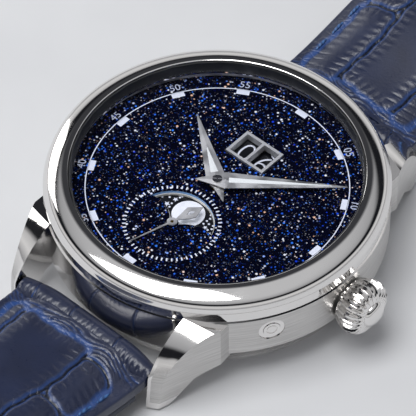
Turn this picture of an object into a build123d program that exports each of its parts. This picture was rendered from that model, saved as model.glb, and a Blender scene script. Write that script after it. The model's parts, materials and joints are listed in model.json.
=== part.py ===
"""A wristwatch with a moon phase, a big date and small seconds, lying on its back with the strap open.

Sizes are in millimetres. +Z points up through the crystal, +Y to twelve o'clock and +X to the crown.
The origin is the centre of the flat face that the case back rests on.
"""
import math
import os

from build123d import *

# Case, from the bottom up
case_radius = 20.0
waist_step = 0.15
back_flange_height = 2.0
under_setback = 1.6
under_rise = 2.4
flank_height = 5.28
waist_height = 1.42
bezel_height = 1.81

# Bezel and crystal
crystal_setback = 3.0
bezel_ridge_setback = 1.7
bezel_shoulder_setback = 0.75
bezel_foot_setback = 0.05
bezel_ridge_drop = 0.3
bezel_shoulder_drop = 0.46
bezel_wall_bulge = 0.14
bezel_lip_width = 0.42
crystal_thickness = 1.5
crystal_recess = 0.1
crystal_bevel = 0.12
crystal_gasket_width = 0.25

# Dial
dial_setback = 2.4
dial_glass_thickness = 0.32
dial_base_thickness = 0.3
rehaut_height = 1.06
rehaut_foot_width = 0.4
rehaut_top_width = 0.7
hand_hole_radius = 0.95
seconds_hole_radius = 0.36
base_window_margin = 0.12

# Small seconds and moon phase, below the centre
small_dial_offset = 7.7
moon_window_radius = 4.85
moon_hump_radius = 3.65
moon_hump_spread = 3.57
moon_hump_drop = 1.93
moon_boss_radius = 0.75
moon_disc_radius = 5.15
moon_disc_teeth = 59

# Big date, above the centre
date_centre_height = 6.45
date_frame_width = 5.56
date_frame_height = 3.85
date_frame_border = 0.36
date_frame_rise = 0.28
date_bar_width = 0.34
tens_disc_radius = 4.35
tens_digit_radius = 2.9
units_disc_radius = 5.85
units_digit_radius = 4.5
digit_spread = 1.25
disc_thickness = 0.22
disc_drop = 0.13
disc_step = 0.05
disc_hub_radius = 1.2
disc_hub_height = 0.5
disc_post_radius = 0.5
star_radius = 1.9
star_root_radius = 1.3
tens_star_teeth = 4
units_star_teeth = 10
star_thickness = 0.16

# Hands
minute_hand_length = 14.9
minute_hand_tail = 2.5
minute_hand_half_width = 1.22
minute_hand_shoulder = 0.95
minute_hand_angle = 52.6
minute_lume_start = 1.3
minute_lume_half_width = 0.4
minute_lume_end = 13.2
hour_hand_length = 10.85
hour_hand_tail = 3.0
hour_hand_half_width = 1.1
hour_hand_shoulder = 1.2
hour_hand_angle = 305.6
hour_lume_start = 1.5
hour_lume_half_width = 0.48
hour_lume_end = 5.4
hand_thickness = 0.2
hand_edge = 0.1
hand_tip_half_width = 0.05
lume_depth = 0.06
seconds_hand_length = 5.6
seconds_hand_half_width = 0.13
seconds_hub_radius = 0.6
seconds_hand_angle = 197.0
seconds_diamond_reach = 4.1
seconds_diamond_middle = 2.6
seconds_diamond_half_width = 0.9
seconds_hole_start = 1.9
seconds_hole_end = 3.1
seconds_hole_half_width = 0.3
seconds_hand_lift = 0.18
seconds_hand_thickness = 0.12
hour_hand_lift = 0.12
minute_hand_lift = 0.18
cap_radius = 0.58
cap_height = 0.12
cap_slot_width = 0.16
cap_slot_depth = 0.06

# Movement levels and plates
plate_thickness = 1.6
plate_gap = 0.05
ring_wall = 1.45
ring_gap = 0.1
case_wall = 3.8
back_bore_height = 1.9
bridge_height = 3.6
bridge_thickness = 0.8
train_height = 2.0
bridge_setback = 0.3
bridge_split = 1.35
bridge_gap = 0.3
bridge_keyless_side = 5.0
wheel_thickness = 0.22
pivot_radius = 0.14
arbor_radius = 0.2
jewel_radius = 0.6
jewel_thickness = 0.3
pillar_radius = 0.95
pillar_setback = 1.3
screw_head_radius = 0.66
screw_head_height = 0.3
screw_shank_radius = 0.34
screw_grip = 0.8
screw_slot_width = 0.18
screw_slot_depth = 0.14

# Gear train: leaves and teeth, and the module of each mesh
centre_teeth = 64
third_pinion_teeth = 8
third_teeth = 60
fourth_pinion_teeth = 8
fourth_teeth = 60
escape_pinion_teeth = 6
train_module = 0.125
barrel_teeth = 60
centre_pinion_teeth = 10
barrel_module = 0.19
cannon_teeth = 10
minute_wheel_teeth = 30
minute_pinion_teeth = 8
hour_wheel_teeth = 32
motion_module = 0.14
rotor_pinion_teeth = 12
reversing_teeth = 26
ratchet_teeth = 40
winding_module = 0.15
escape_teeth = 15
escape_radius = 2.2
escape_root_radius = 1.62
escape_hub_radius = 0.42
escape_rim_width = 0.2
escape_spokes = 4
pinion_height = 0.42
centre_pinion_height = 0.63
wheel_rim_width = 0.55
wheel_hub_radius = 0.62
wheel_spoke_width = 0.3
barrel_drum_height = 1.05
barrel_drum_radius = 5.35
barrel_arbor_radius = 0.6
barrel_angle = 121.8
escape_angle = -41.2
minute_wheel_angle = -31.0
cannon_radius = 0.46
hour_pipe_radius = 0.76
fourth_arbor_radius = 0.18
seconds_tube_wall = 0.16
centre_wheel_lift = 0.3
barrel_lift = 0.75
fourth_wheel_lift = 0.85
third_wheel_lift = 1.58
escape_wheel_lift = 1.42
motion_lift = 0.1
motion_step = 0.06

# Balance, pallets and hairspring
balance_radius = 3.85
balance_rim_width = 0.5
balance_rim_height = 0.3
balance_lift = 0.4
balance_x = 7.7
balance_y = -6.6
balance_spoke_width = 0.34
roller_radius = 0.8
roller_thickness = 0.14
roller_lift = 0.95
impulse_pin_radius = 0.08
impulse_pin_reach = 0.58
impulse_pin_length = 0.1
pallet_reach = 2.75
pallet_lever_length = 2.5
pallet_lever_width = 0.3
pallet_arm_width = 0.4
pallet_thickness = 0.2
pallet_lift = 1.35
pallet_hub_radius = 0.36
pallet_stone_clearance = 0.17
pallet_stone_spread = 32.0
pallet_bridge_thickness = 0.3
pallet_bridge_lift = 0.85
pallet_bridge_width = 1.2
pallet_bridge_span = 2.4
hairspring_inner_radius = 0.8
hairspring_pitch = 0.56
hairspring_half_turns = 9
hairspring_half_turn_points = 24
hairspring_wire = 0.1
hairspring_height = 0.14
hairspring_lift = 0.06
cock_thickness = 0.6
cock_width = 2.0
cock_eye_radius = 1.2
cock_angle = -12.0
cock_foot_reach = 12.6

# Rotor, its post and the winding wheels behind the bridges
rotor_setback = 0.4
rotor_rim_width = 3.0
rotor_rim_height = 1.2
rotor_plate_thickness = 0.3
rotor_plate_drop = 0.8
rotor_rim_drop = 0.3
rotor_hub_radius = 1.9
rotor_post_radius = 0.5
rotor_head_radius = 1.0
rotor_head_height = 0.25
rotor_window_inner = 3.2
rotor_window_outer = 9.8
rotor_window_span = 36.0
rotor_window_pitch = 56.0
winding_drop = 0.3
winding_thickness = 0.34
click_thickness = 0.3
click_angle = 196.0
click_lift_angle = 38.0
click_distance = 4.35
click_length = 1.6
click_width = 0.5
click_hub_radius = 0.6
click_post_radius = 0.28

# Case back
back_flange_setback = 0.4
back_bevel = 0.7
back_thread_step = 0.45
back_thread_height = 1.4
back_window_width = 3.25
back_glass_width = 2.65
back_glass_thickness = 1.2
back_glass_recess = 0.45
back_gasket_width = 0.25
back_cavity_wall = 1.05
back_notch_count = 6
back_notch_width = 2.2
back_notch_length = 1.1
back_notch_depth = 0.9

# Crown, tube, stem and sliding pinion
crown_height = 6.05
crown_gap = 0.15
crown_back_radius = 2.8
crown_radius = 3.36
crown_front_radius = 2.95
crown_seat_radius = 2.2
crown_back_length = 0.35
crown_rise_length = 1.1
crown_barrel_length = 0.6
crown_fall_length = 0.9
crown_front_length = 0.4
crown_cap_radius = 2.05
crown_cap_length = 0.75
crown_cap_rise = 0.55
crown_flutes = 24
crown_flute_sides = 4
crown_flute_radius = 0.34
crown_flute_depth = 0.24
crown_recess_radius = 1.3
crown_recess_depth = 0.9
crown_thread_depth = 1.3
crown_travel = 1.2
tube_outer_radius = 1.1
tube_inner_radius = 0.8
tube_projection = 0.5
tube_inset = 3.6
stem_radius = 0.5
stem_square = 0.66
stem_pilot_radius = 0.26
stem_pilot_start = 4.6
stem_square_start = 6.4
stem_square_end = 11.2
clutch_radius = 1.15
clutch_start = 8.0
clutch_length = 1.9
clutch_groove_depth = 0.35
clutch_groove_length = 0.5
clutch_groove_start = 0.7
stem_block_start = 12.4
stem_block_end = 14.3
stem_block_width = 2.6
pilot_block_start = 4.9
pilot_block_end = 6.1
pilot_block_width = 1.6
pilot_block_height = 0.9
keyless_slot_start = 6.2
keyless_slot_width = 2.7
keyless_slot_depth = 0.95

# Corrector push piece in the case side
corrector_angle = 120.5
corrector_height = 7.5
corrector_sleeve_radius = 1.53
corrector_sleeve_length = 2.7
corrector_sleeve_floor = 0.5
corrector_inset = 0.12
corrector_button_radius = 0.98
corrector_head_length = 1.5
corrector_projection = 0.08
corrector_stem_radius = 0.45
corrector_stem_length = 2.9
corrector_travel = 0.6
corrector_groove_radius = 0.62
corrector_groove_width = 0.12
corrector_groove_depth = 0.1

# Lugs, mirrored to all four corners
lug_gap = 20.5
lug_side_span = 4.0
lug_root_setback = 7.5
lug_root_height = 10.2
lug_root_reach = 17.1
lug_back_reach = 20.8
lug_back_height = 7.85
lug_top_reach = 23.0
lug_top_height = 5.0
lug_tip_reach = 23.5
lug_foot_height = 0.3
lug_foot_length = 1.1
lug_arch_reach = 19.75
lug_arch_height = 1.55
lug_under_reach = 18.3
lug_under_height = 3.05
lug_inside_height = 4.3
lug_side_root_height = 9.5
lug_side_root_reach = 16.0
lug_side_back_reach = 18.9
lug_side_back_height = 7.9
lug_side_top_reach = 20.7
lug_side_top_height = 4.6
lug_side_tip_reach = 21.2
lug_side_width = 15.62
lug_side_middle_reach = 17.0
lug_side_middle_width = 13.55
lug_side_end_width = 11.2
lug_side_end_reach = 23.9

# Spring bars
bar_reach = 22.1
bar_height = 4.1
bar_radius = 0.65
bar_end_clearance = 0.35
bar_tip_radius = 0.38
bar_tip_length = 0.75

# Strap
strap_width = 20.0
strap_end_width = 18.0
strap_roll_radius = 1.85
strap_roll_edge_radius = 1.15
strap_bore_gap = 0.06
strap_crown_rise = 1.85
strap_edge_rise = 0.6
strap_core_depth = 0.75
strap_lining_thickness = 1.1
strap_layer_gap = 0.05
strap_end_crown_rise = 0.9
strap_end_edge_rise = 0.45
strap_end_core_depth = 0.35
strap_end_lining_thickness = 0.9
strap_arch_reach = 21.5
strap_arch_rise = 3.1
strap_lining_start = 2.6
short_strap_sections = 7
long_strap_sections = 10
short_strap_length = 70.0
short_strap_end_height = 1.3
long_strap_length = 108.0
long_strap_end_height = 0.05
strap_tip_length = 9.0
strap_tip_half_width = 2.5
strap_hole_radius = 0.9
strap_hole_count = 7
strap_hole_pitch = 6.5
strap_hole_start = 17.0
keeper_length = 5.0
keeper_wall = 1.0
keeper_gap = 0.25
keeper_room = 2.9
fixed_keeper_setback = 9.0
loose_keeper_setback = 20.0

# Buckle
buckle_roll_radius = 1.3
buckle_bar_radius = 0.6
buckle_side_gap = 0.35
buckle_arm_width = 1.9
buckle_reach = 9.0
buckle_thickness = 1.6
buckle_cross_width = 2.2
buckle_corner = 1.6
buckle_edge = 0.4
tongue_width = 1.6
tongue_thickness = 0.8
tongue_lift = 0.05
tongue_overhang = 0.4
tongue_slot_width = 2.4
tongue_slot_length = 4.4

# Clearances
seat_gap = 0.02
running_gap = 0.03
hinge_gap = 0.05
overrun = 1.0

# Sides of the slim round pieces, and the turn between corners of a window's rim
slim_sides = 8
head_sides = 12
stem_sides = 16
ring_sides = 36
window_step = 24.0

# Tooth shapes as shares of the module
wheel_addendum_share = 0.85
wheel_dedendum_share = 1.25
pinion_addendum_share = 0.6
pinion_dedendum_share = 1.3

# Radii worked out from the case's outside to its inside
under_radius = case_radius - under_setback
crystal_opening_radius = case_radius - crystal_setback
bezel_ridge_radius = case_radius - bezel_ridge_setback
bezel_shoulder_radius = case_radius - bezel_shoulder_setback
bezel_foot_radius = case_radius - bezel_foot_setback
dial_radius = case_radius - dial_setback
rehaut_foot_radius = dial_radius - rehaut_foot_width
rehaut_top_radius = dial_radius - rehaut_top_width
case_bore_radius = case_radius - case_wall
ring_outer_radius = case_bore_radius - ring_gap
ring_inner_radius = ring_outer_radius - ring_wall
plate_radius = ring_inner_radius - plate_gap
bridge_radius = plate_radius - bridge_setback
pillar_circle_radius = plate_radius - pillar_setback
rotor_radius = plate_radius - rotor_setback
back_flange_radius = under_radius - back_flange_setback
back_thread_radius = case_bore_radius + back_thread_step
back_cavity_radius = back_thread_radius - back_cavity_wall
back_window_radius = back_thread_radius - back_window_width
back_glass_radius = back_thread_radius - back_glass_width
lug_root_inside = case_radius - lug_root_setback
tube_start = case_radius - tube_inset

# Share of the strap's width that the level middle of its padded top takes
strap_middle_share = 0.45

# Levels worked out from the sizes above
case_bottom = back_flange_height
flank_low = case_bottom + under_rise
flank_high = flank_low + flank_height
waist_low = flank_high + waist_step
case_top = waist_low + waist_height
bezel_top = case_top + bezel_height
waist_radius = case_radius - waist_step
crystal_top = bezel_top - crystal_recess
crystal_low = crystal_top - crystal_thickness
crystal_radius = crystal_opening_radius - crystal_gasket_width
bezel_lip_radius = crystal_opening_radius - bezel_lip_width
dial_top = case_top - rehaut_height
dial_seam = dial_top - dial_glass_thickness
dial_ledge = dial_seam - dial_base_thickness
back_bore_top = case_bottom + back_bore_height
bridge_top = bridge_height + bridge_thickness
plate_low = bridge_top + train_height
plate_high = plate_low + plate_thickness
ring_low = case_bottom + back_thread_height + seat_gap
ring_high = dial_ledge - seat_gap
upper_disc_top = dial_ledge - disc_drop
upper_disc_low = upper_disc_top - disc_thickness
lower_disc_top = upper_disc_low - disc_step
lower_disc_low = lower_disc_top - disc_thickness
tens_at = (-(digit_spread + tens_digit_radius), date_centre_height)
units_at = (digit_spread + units_digit_radius, date_centre_height)
small_dial = (0, -small_dial_offset)
lug_inner = lug_gap / 2
crown_start = case_radius + crown_gap
centre = (0, 0)
balance_at = (balance_x, balance_y)


def polar(radius, angle, middle=(0, 0)):
    """The point at a radius and an angle in degrees from a centre."""
    return (
        middle[0] + radius * math.cos(math.radians(angle)),
        middle[1] + radius * math.sin(math.radians(angle)),
    )


def bearing(start, end):
    """The angle in degrees of the line from one point to another."""
    return math.degrees(math.atan2(end[1] - start[1], end[0] - start[0]))


def meet(first, first_distance, second, second_distance, side):
    """The point at two distances from two centres, on the left (1) or right (-1) of their line."""
    span_x = second[0] - first[0]
    span_y = second[1] - first[1]
    span = math.hypot(span_x, span_y)
    along = (first_distance**2 - second_distance**2 + span**2) / (2 * span)
    across = math.sqrt(first_distance**2 - along**2) * side
    return (
        first[0] + (along * span_x - across * span_y) / span,
        first[1] + (along * span_y + across * span_x) / span,
    )


def mesh_distance(module, first_teeth, second_teeth):
    """The distance between the centres of two gears in mesh."""
    return module * (first_teeth + second_teeth) / 2


def save(builder, label):
    """Name a finished piece and write it to its own file."""
    builder.part.label = label
    export_step(builder.part, "parts/" + label + ".step")


# Gear centres worked out from the meshes
barrel_at = polar(mesh_distance(barrel_module, barrel_teeth, centre_pinion_teeth), barrel_angle)
third_at = meet(
    centre,
    mesh_distance(train_module, centre_teeth, third_pinion_teeth),
    small_dial,
    mesh_distance(train_module, third_teeth, fourth_pinion_teeth),
    -1,
)
escape_at = polar(mesh_distance(train_module, fourth_teeth, escape_pinion_teeth), escape_angle, small_dial)
minute_wheel_at = polar(mesh_distance(motion_module, cannon_teeth, minute_wheel_teeth), minute_wheel_angle)
reversing_at = meet(
    centre,
    mesh_distance(winding_module, rotor_pinion_teeth, reversing_teeth),
    barrel_at,
    mesh_distance(winding_module, reversing_teeth, ratchet_teeth),
    -1,
)
pallet_bearing = bearing(escape_at, balance_at)
pallet_at = polar(pallet_reach, pallet_bearing, escape_at)


def ring_section(corners):
    """Turn a section with corners (radius, height) about the Z axis."""
    with BuildSketch(Plane.XZ) as section:
        with BuildLine():
            Polyline(*corners, close=True)
        make_face()
    revolve(section.sketch, axis=Axis.Z)


def rod(middle, low, high, radius, mode=Mode.ADD):
    """An upright cylinder between two levels."""
    with BuildSketch(Plane.XY.offset(low)) as disc:
        with Locations(middle):
            Circle(radius)
    extrude(disc.sketch, amount=high - low, mode=mode)


def bore(middle, low, high, radius):
    """An upright hole between two levels."""
    rod(middle, low, high, radius, Mode.SUBTRACT)


def post(middle, low, high, radius, sides=slim_sides):
    """A slim upright post between two levels, with its corners at the radius."""
    with BuildSketch(Plane.XY.offset(low)) as section:
        with Locations(middle):
            RegularPolygon(radius, sides)
    extrude(section.sketch, amount=high - low)


def socket(middle, low, high, radius, sides=slim_sides):
    """An upright hole between two levels, with its sides at the radius."""
    with BuildSketch(Plane.XY.offset(low)) as section:
        with Locations(middle):
            RegularPolygon(radius, sides, major_radius=False)
    extrude(section.sketch, amount=high - low, mode=Mode.SUBTRACT)


def sided_ring(inner, outer, low, high):
    """A plain hidden ring that clears a round piece inside it and a round bore outside it."""
    post(centre, low, high, outer, ring_sides)
    socket(centre, low, high, inner, ring_sides)


def pointed_teeth(teeth, outer, inner, phase, middle):
    """Draw an outline of pointed teeth in the open sketch, one of them on the phase angle."""
    corners = []
    for index in range(teeth):
        turn = phase + index * 360 / teeth
        corners.append(polar(outer, turn, middle))
        corners.append(polar(inner, turn + 180 / teeth, middle))
    with BuildLine() as outline:
        Polyline(*corners, close=True)
    make_face(outline.edges())


def wheel_teeth(teeth, module, phase, middle):
    """Draw a wheel's toothed outline in the open sketch."""
    outer = module * (teeth / 2 + wheel_addendum_share)
    inner = module * (teeth / 2 - wheel_dedendum_share)
    pointed_teeth(teeth, outer, inner, phase, middle)


def pinion_teeth(teeth, module, phase, middle):
    """Draw a pinion's outline of leaves in the open sketch."""
    outer = module * (teeth / 2 + pinion_addendum_share)
    inner = module * (teeth / 2 - pinion_dedendum_share)
    pointed_teeth(teeth, outer, inner, phase, middle)


def wheel(teeth, module, phase, middle, low, spokes):
    """A spoked wheel with its underside at the given level."""
    with BuildSketch(Plane.XY.offset(low)) as blank:
        wheel_teeth(teeth, module, phase, middle)
        windows(middle, wheel_hub_radius, module * teeth / 2 - wheel_rim_width, spokes, wheel_spoke_width)
    extrude(blank.sketch, amount=wheel_thickness)


def pinion(teeth, module, phase, middle, low, high):
    """A solid pinion between two levels."""
    with BuildSketch(Plane.XY.offset(low)) as blank:
        pinion_teeth(teeth, module, phase, middle)
    extrude(blank.sketch, amount=high - low)


def windows(middle, inner, outer, spokes, width):
    """Cut the windows between spokes in the open sketch."""
    step = 360 / spokes
    inner_turn = math.degrees(math.asin(width / (2 * inner)))
    outer_turn = math.degrees(math.asin(width / (2 * outer)))
    for index in range(spokes):
        first = index * step
        last = first + step
        inner_span = (first + inner_turn, last - inner_turn)
        outer_span = (first + outer_turn, last - outer_turn)
        sector_window(middle, inner, outer, inner_span, outer_span)


def sector_window(middle, inner, outer, inner_span, outer_span):
    """Cut one window between two radii in the open sketch, from the angles at each radius."""
    span = outer_span[1] - outer_span[0]
    steps = math.ceil(span / window_step)
    corners = [polar(inner, inner_span[0], middle)]
    for index in range(steps + 1):
        corners.append(polar(outer, outer_span[0] + span * index / steps, middle))
    corners.append(polar(inner, inner_span[1], middle))
    with BuildLine() as outline:
        Polyline(*corners, close=True)
    make_face(outline.edges(), mode=Mode.SUBTRACT)


def side_plane(reach):
    """The plane across the winding stem at a distance from the case's centre."""
    return Plane(origin=(reach, 0, crown_height), x_dir=(0, 1, 0), z_dir=(1, 0, 0))


def stem_rod(start, end, radius):
    """A rod on the stem's axis between two distances from the case's centre."""
    with BuildSketch(side_plane(start)) as section:
        RegularPolygon(radius, stem_sides)
    extrude(section.sketch, amount=end - start)


def stem_bore(start, end, radius):
    """A hole on the stem's axis between two distances from the case's centre."""
    with BuildSketch(side_plane(start)) as section:
        RegularPolygon(radius, stem_sides, major_radius=False)
    extrude(section.sketch, amount=end - start, mode=Mode.SUBTRACT)


corrector_turn = 90 - corrector_angle
corrector_axis = (math.cos(math.radians(corrector_turn)), math.sin(math.radians(corrector_turn)), 0)


def corrector_rod(start, end, radius, mode=Mode.ADD):
    """A cylinder on the corrector's axis between two distances from the case's centre."""
    x, y = polar(start, corrector_turn)
    with BuildSketch(Plane(origin=(x, y, corrector_height), z_dir=corrector_axis)) as disc:
        Circle(radius)
    extrude(disc.sketch, amount=end - start, mode=mode)


corrector_sleeve_end = case_radius - corrector_inset
corrector_sleeve_start = corrector_sleeve_end - corrector_sleeve_length
corrector_head_end = corrector_sleeve_end + corrector_projection
corrector_head_start = corrector_head_end - corrector_head_length
corrector_stem_start = corrector_head_start - corrector_stem_length

os.makedirs("parts", exist_ok=True)


# Lugs: a side view at the strap and a smaller one further out, joined and trimmed to the plan
def lug_outline(root_reach, root_height, back, top, tip_reach):
    """Side view of a lug: rounded back, upright end, short foot and arched underside."""
    with BuildLine() as outline:
        root = Line((lug_root_inside, root_height), (root_reach, root_height))
        rounded = ThreePointArc(root @ 1, back, top)
        end = Line(rounded @ 1, (tip_reach, lug_foot_height))
        foot = Line(end @ 1, (tip_reach - lug_foot_length, lug_foot_height))
        arch = ThreePointArc(
            foot @ 1, (lug_arch_reach, lug_arch_height), (lug_under_reach, lug_under_height)
        )
        under = Line(arch @ 1, (lug_root_inside, lug_inside_height))
        Line(under @ 1, root @ 0)
    make_face(outline.edges())


with BuildPart() as lugs:
    with BuildSketch(Plane.YZ.offset(lug_inner)):
        lug_outline(
            lug_root_reach, lug_root_height, (lug_back_reach, lug_back_height),
            (lug_top_reach, lug_top_height), lug_tip_reach,
        )
    with BuildSketch(Plane.YZ.offset(lug_inner + lug_side_span)):
        lug_outline(
            lug_side_root_reach, lug_side_root_height, (lug_side_back_reach, lug_side_back_height),
            (lug_side_top_reach, lug_side_top_height), lug_side_tip_reach,
        )
    loft(ruled=True)
    with BuildSketch():
        with BuildLine():
            side = ThreePointArc(
                (lug_side_width, lug_root_inside), (lug_side_middle_width, lug_side_middle_reach),
                (lug_side_end_width, lug_side_end_reach),
            )
            Polyline(
                side @ 1, (lug_inner, lug_side_end_reach), (lug_inner, lug_root_inside), side @ 0
            )
        make_face()
    extrude(amount=case_top, mode=Mode.INTERSECT)
    mirror(about=Plane.XZ)
    mirror(about=Plane.YZ)

# Middle case with its bores, the tube's hole, the corrector's hole and the spring bar holes
with BuildPart() as middle_case:
    ring_section([
        (0, case_bottom), (under_radius, case_bottom), (case_radius, flank_low), (case_radius, flank_high),
        (waist_radius, waist_low), (waist_radius, case_top), (0, case_top),
    ])
    add(lugs.part)
    bore(centre, case_bottom - overrun, back_bore_top, back_thread_radius + hinge_gap)
    socket(centre, case_bottom, dial_ledge, case_bore_radius, ring_sides)
    socket(centre, dial_ledge, case_top + overrun, dial_radius + hinge_gap, ring_sides)
    stem_bore(case_bore_radius - overrun, case_radius + overrun, tube_outer_radius + seat_gap)
    corrector_rod(
        corrector_sleeve_start, case_radius + overrun, corrector_sleeve_radius + seat_gap, Mode.SUBTRACT
    )
    corrector_rod(
        case_bore_radius - overrun, corrector_sleeve_start, corrector_stem_radius + hinge_gap, Mode.SUBTRACT
    )
    bar_hole_half = lug_inner + bar_tip_length + hinge_gap
    for end in (-1, 1):
        with BuildSketch(Plane.YZ.offset(-bar_hole_half)):
            with Locations((end * bar_reach, bar_height)):
                RegularPolygon(bar_tip_radius + seat_gap, slim_sides, major_radius=False)
        extrude(amount=2 * bar_hole_half, mode=Mode.SUBTRACT)
save(middle_case, "middle_case")

# Bezel
with BuildPart() as bezel:
    shoulder_height = bezel_top - bezel_shoulder_drop
    ring_section([
        (crystal_opening_radius, bezel_top),
        (bezel_ridge_radius, bezel_top - bezel_ridge_drop),
        (bezel_shoulder_radius, shoulder_height),
        (
            (bezel_shoulder_radius + bezel_foot_radius) / 2 + bezel_wall_bulge,
            (shoulder_height + case_top) / 2 + bezel_wall_bulge,
        ),
        (bezel_foot_radius, case_top),
        (bezel_lip_radius, case_top),
        (bezel_lip_radius, crystal_low),
        (crystal_opening_radius, crystal_low),
    ])
save(bezel, "bezel")

# Crystal and its gasket
with BuildPart() as crystal:
    ring_section([
        (0, crystal_low), (crystal_radius, crystal_low), (crystal_radius, crystal_top - crystal_bevel),
        (crystal_radius - crystal_bevel, crystal_top), (0, crystal_top),
    ])
save(crystal, "crystal")

with BuildPart() as crystal_gasket:
    sided_ring(
        crystal_radius + seat_gap, crystal_opening_radius - seat_gap,
        crystal_low, crystal_top - crystal_bevel,
    )
save(crystal_gasket, "crystal_gasket")

# Dial ring round the dial's edge
with BuildPart() as dial_ring:
    ring_section([
        (rehaut_foot_radius, dial_top), (dial_radius, dial_top), (dial_radius, case_top),
        (rehaut_top_radius, case_top),
    ])
save(dial_ring, "dial_ring")


def moon_window(margin):
    """Cut the moon's window in the open sketch: a wide arc over two humps and a boss."""
    outer = moon_window_radius - margin
    hump = moon_hump_radius + margin
    boss = moon_boss_radius + margin
    x, y = small_dial
    right = (x + moon_hump_spread, y - moon_hump_drop)
    left = (x - moon_hump_spread, y - moon_hump_drop)
    right_end = meet(small_dial, outer, right, hump, 1)
    left_end = meet(small_dial, outer, left, hump, -1)
    right_foot = meet(small_dial, boss, right, hump, 1)
    left_foot = meet(small_dial, boss, left, hump, -1)
    right_turn = (bearing(right, right_end) + bearing(right, right_foot)) / 2
    left_turn = 180 - right_turn
    with BuildLine() as outline:
        ThreePointArc(right_end, (x, y + outer), left_end)
        ThreePointArc(left_end, polar(hump, left_turn, left), left_foot)
        ThreePointArc(left_foot, (x, y + boss), right_foot)
        ThreePointArc(right_foot, polar(hump, right_turn, right), right_end)
    make_face(outline.edges(), mode=Mode.SUBTRACT)


def dial_plate(low, thickness, margin):
    """One layer of the dial with its hand holes, its moon window and the opening for the date frame."""
    with BuildSketch(Plane.XY.offset(low)) as layer:
        RegularPolygon(dial_radius, ring_sides)
        RegularPolygon(hand_hole_radius, head_sides, major_radius=False, mode=Mode.SUBTRACT)
        with Locations(small_dial):
            RegularPolygon(seconds_hole_radius, slim_sides, major_radius=False, mode=Mode.SUBTRACT)
        with Locations((0, date_centre_height)):
            Rectangle(date_frame_width + seat_gap, date_frame_height + seat_gap, mode=Mode.SUBTRACT)
        moon_window(margin)
    extrude(layer.sketch, amount=thickness)


with BuildPart() as dial_base:
    dial_plate(dial_ledge, dial_base_thickness, base_window_margin)
save(dial_base, "dial_base")

with BuildPart() as dial_glass:
    dial_plate(dial_seam, dial_glass_thickness, 0)
save(dial_glass, "dial_glass")

# Date frame with its middle bar
with BuildPart() as date_frame:
    with BuildSketch(Plane.XY.offset(dial_ledge)):
        with Locations((0, date_centre_height)):
            Rectangle(date_frame_width, date_frame_height)
            Rectangle(
                date_frame_width - 2 * date_frame_border, date_frame_height - 2 * date_frame_border,
                mode=Mode.SUBTRACT,
            )
            Rectangle(date_bar_width, date_frame_height - date_frame_border)
    extrude(amount=dial_top + date_frame_rise - dial_ledge)
save(date_frame, "date_frame")

# Case back: screwed ring with key notches, window and gasket
glass_seat_radius = back_glass_radius + back_gasket_width
glass_top = back_glass_recess + back_glass_thickness
with BuildPart() as back_ring:
    ring_section([
        (0, 0), (back_flange_radius - back_bevel, 0), (back_flange_radius, back_bevel),
        (back_flange_radius, case_bottom), (back_thread_radius, case_bottom),
        (back_thread_radius, case_bottom + back_thread_height), (0, case_bottom + back_thread_height),
    ])
    bore(centre, 0, back_glass_recess, back_window_radius)
    socket(centre, back_glass_recess, glass_top, glass_seat_radius, ring_sides)
    socket(centre, glass_top, case_bottom + back_thread_height, back_cavity_radius, ring_sides)
    with BuildSketch():
        with PolarLocations(back_flange_radius, back_notch_count):
            Rectangle(2 * back_notch_length, back_notch_width)
    extrude(amount=back_notch_depth, mode=Mode.SUBTRACT)
save(back_ring, "back_ring")

with BuildPart() as back_glass:
    post(centre, back_glass_recess, glass_top, back_glass_radius, ring_sides)
save(back_glass, "back_glass")

with BuildPart() as back_gasket:
    sided_ring(back_glass_radius + seat_gap, glass_seat_radius - seat_gap, back_glass_recess, glass_top)
save(back_gasket, "back_gasket")

# Crown tube in the case side
tube_end = case_radius + tube_projection
with BuildPart() as crown_tube:
    stem_rod(tube_start, tube_end, tube_outer_radius)
    stem_bore(tube_start, tube_end, tube_inner_radius)
save(crown_tube, "crown_tube")

# Winding stem: pilot, square and round shank
crown_middle = crown_start + crown_back_length + crown_rise_length
crown_fall_start = crown_middle + crown_barrel_length
crown_front_start = crown_fall_start + crown_fall_length
crown_end = crown_front_start + crown_front_length
crown_thread_end = crown_start + crown_recess_depth + crown_thread_depth
with BuildPart() as winding_stem:
    stem_rod(stem_pilot_start, stem_square_start, stem_pilot_radius)
    with BuildSketch(side_plane(stem_square_start)):
        Rectangle(stem_square, stem_square)
    extrude(amount=stem_square_end - stem_square_start)
    stem_rod(stem_square_end, crown_thread_end, stem_radius)
save(winding_stem, "winding_stem")

# Sliding pinion on the stem's square
with BuildPart() as sliding_pinion:
    stem_rod(clutch_start, clutch_start + clutch_length, clutch_radius)
    groove = clutch_start + clutch_groove_start
    with BuildSketch(side_plane(groove)):
        Circle(clutch_radius + overrun)
        RegularPolygon(clutch_radius - clutch_groove_depth, stem_sides, mode=Mode.SUBTRACT)
    extrude(amount=clutch_groove_length, mode=Mode.SUBTRACT)
    with BuildSketch(side_plane(clutch_start)):
        Rectangle(stem_square + 2 * running_gap, stem_square + 2 * running_gap)
    extrude(amount=clutch_length, mode=Mode.SUBTRACT)
save(sliding_pinion, "sliding_pinion")

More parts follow.
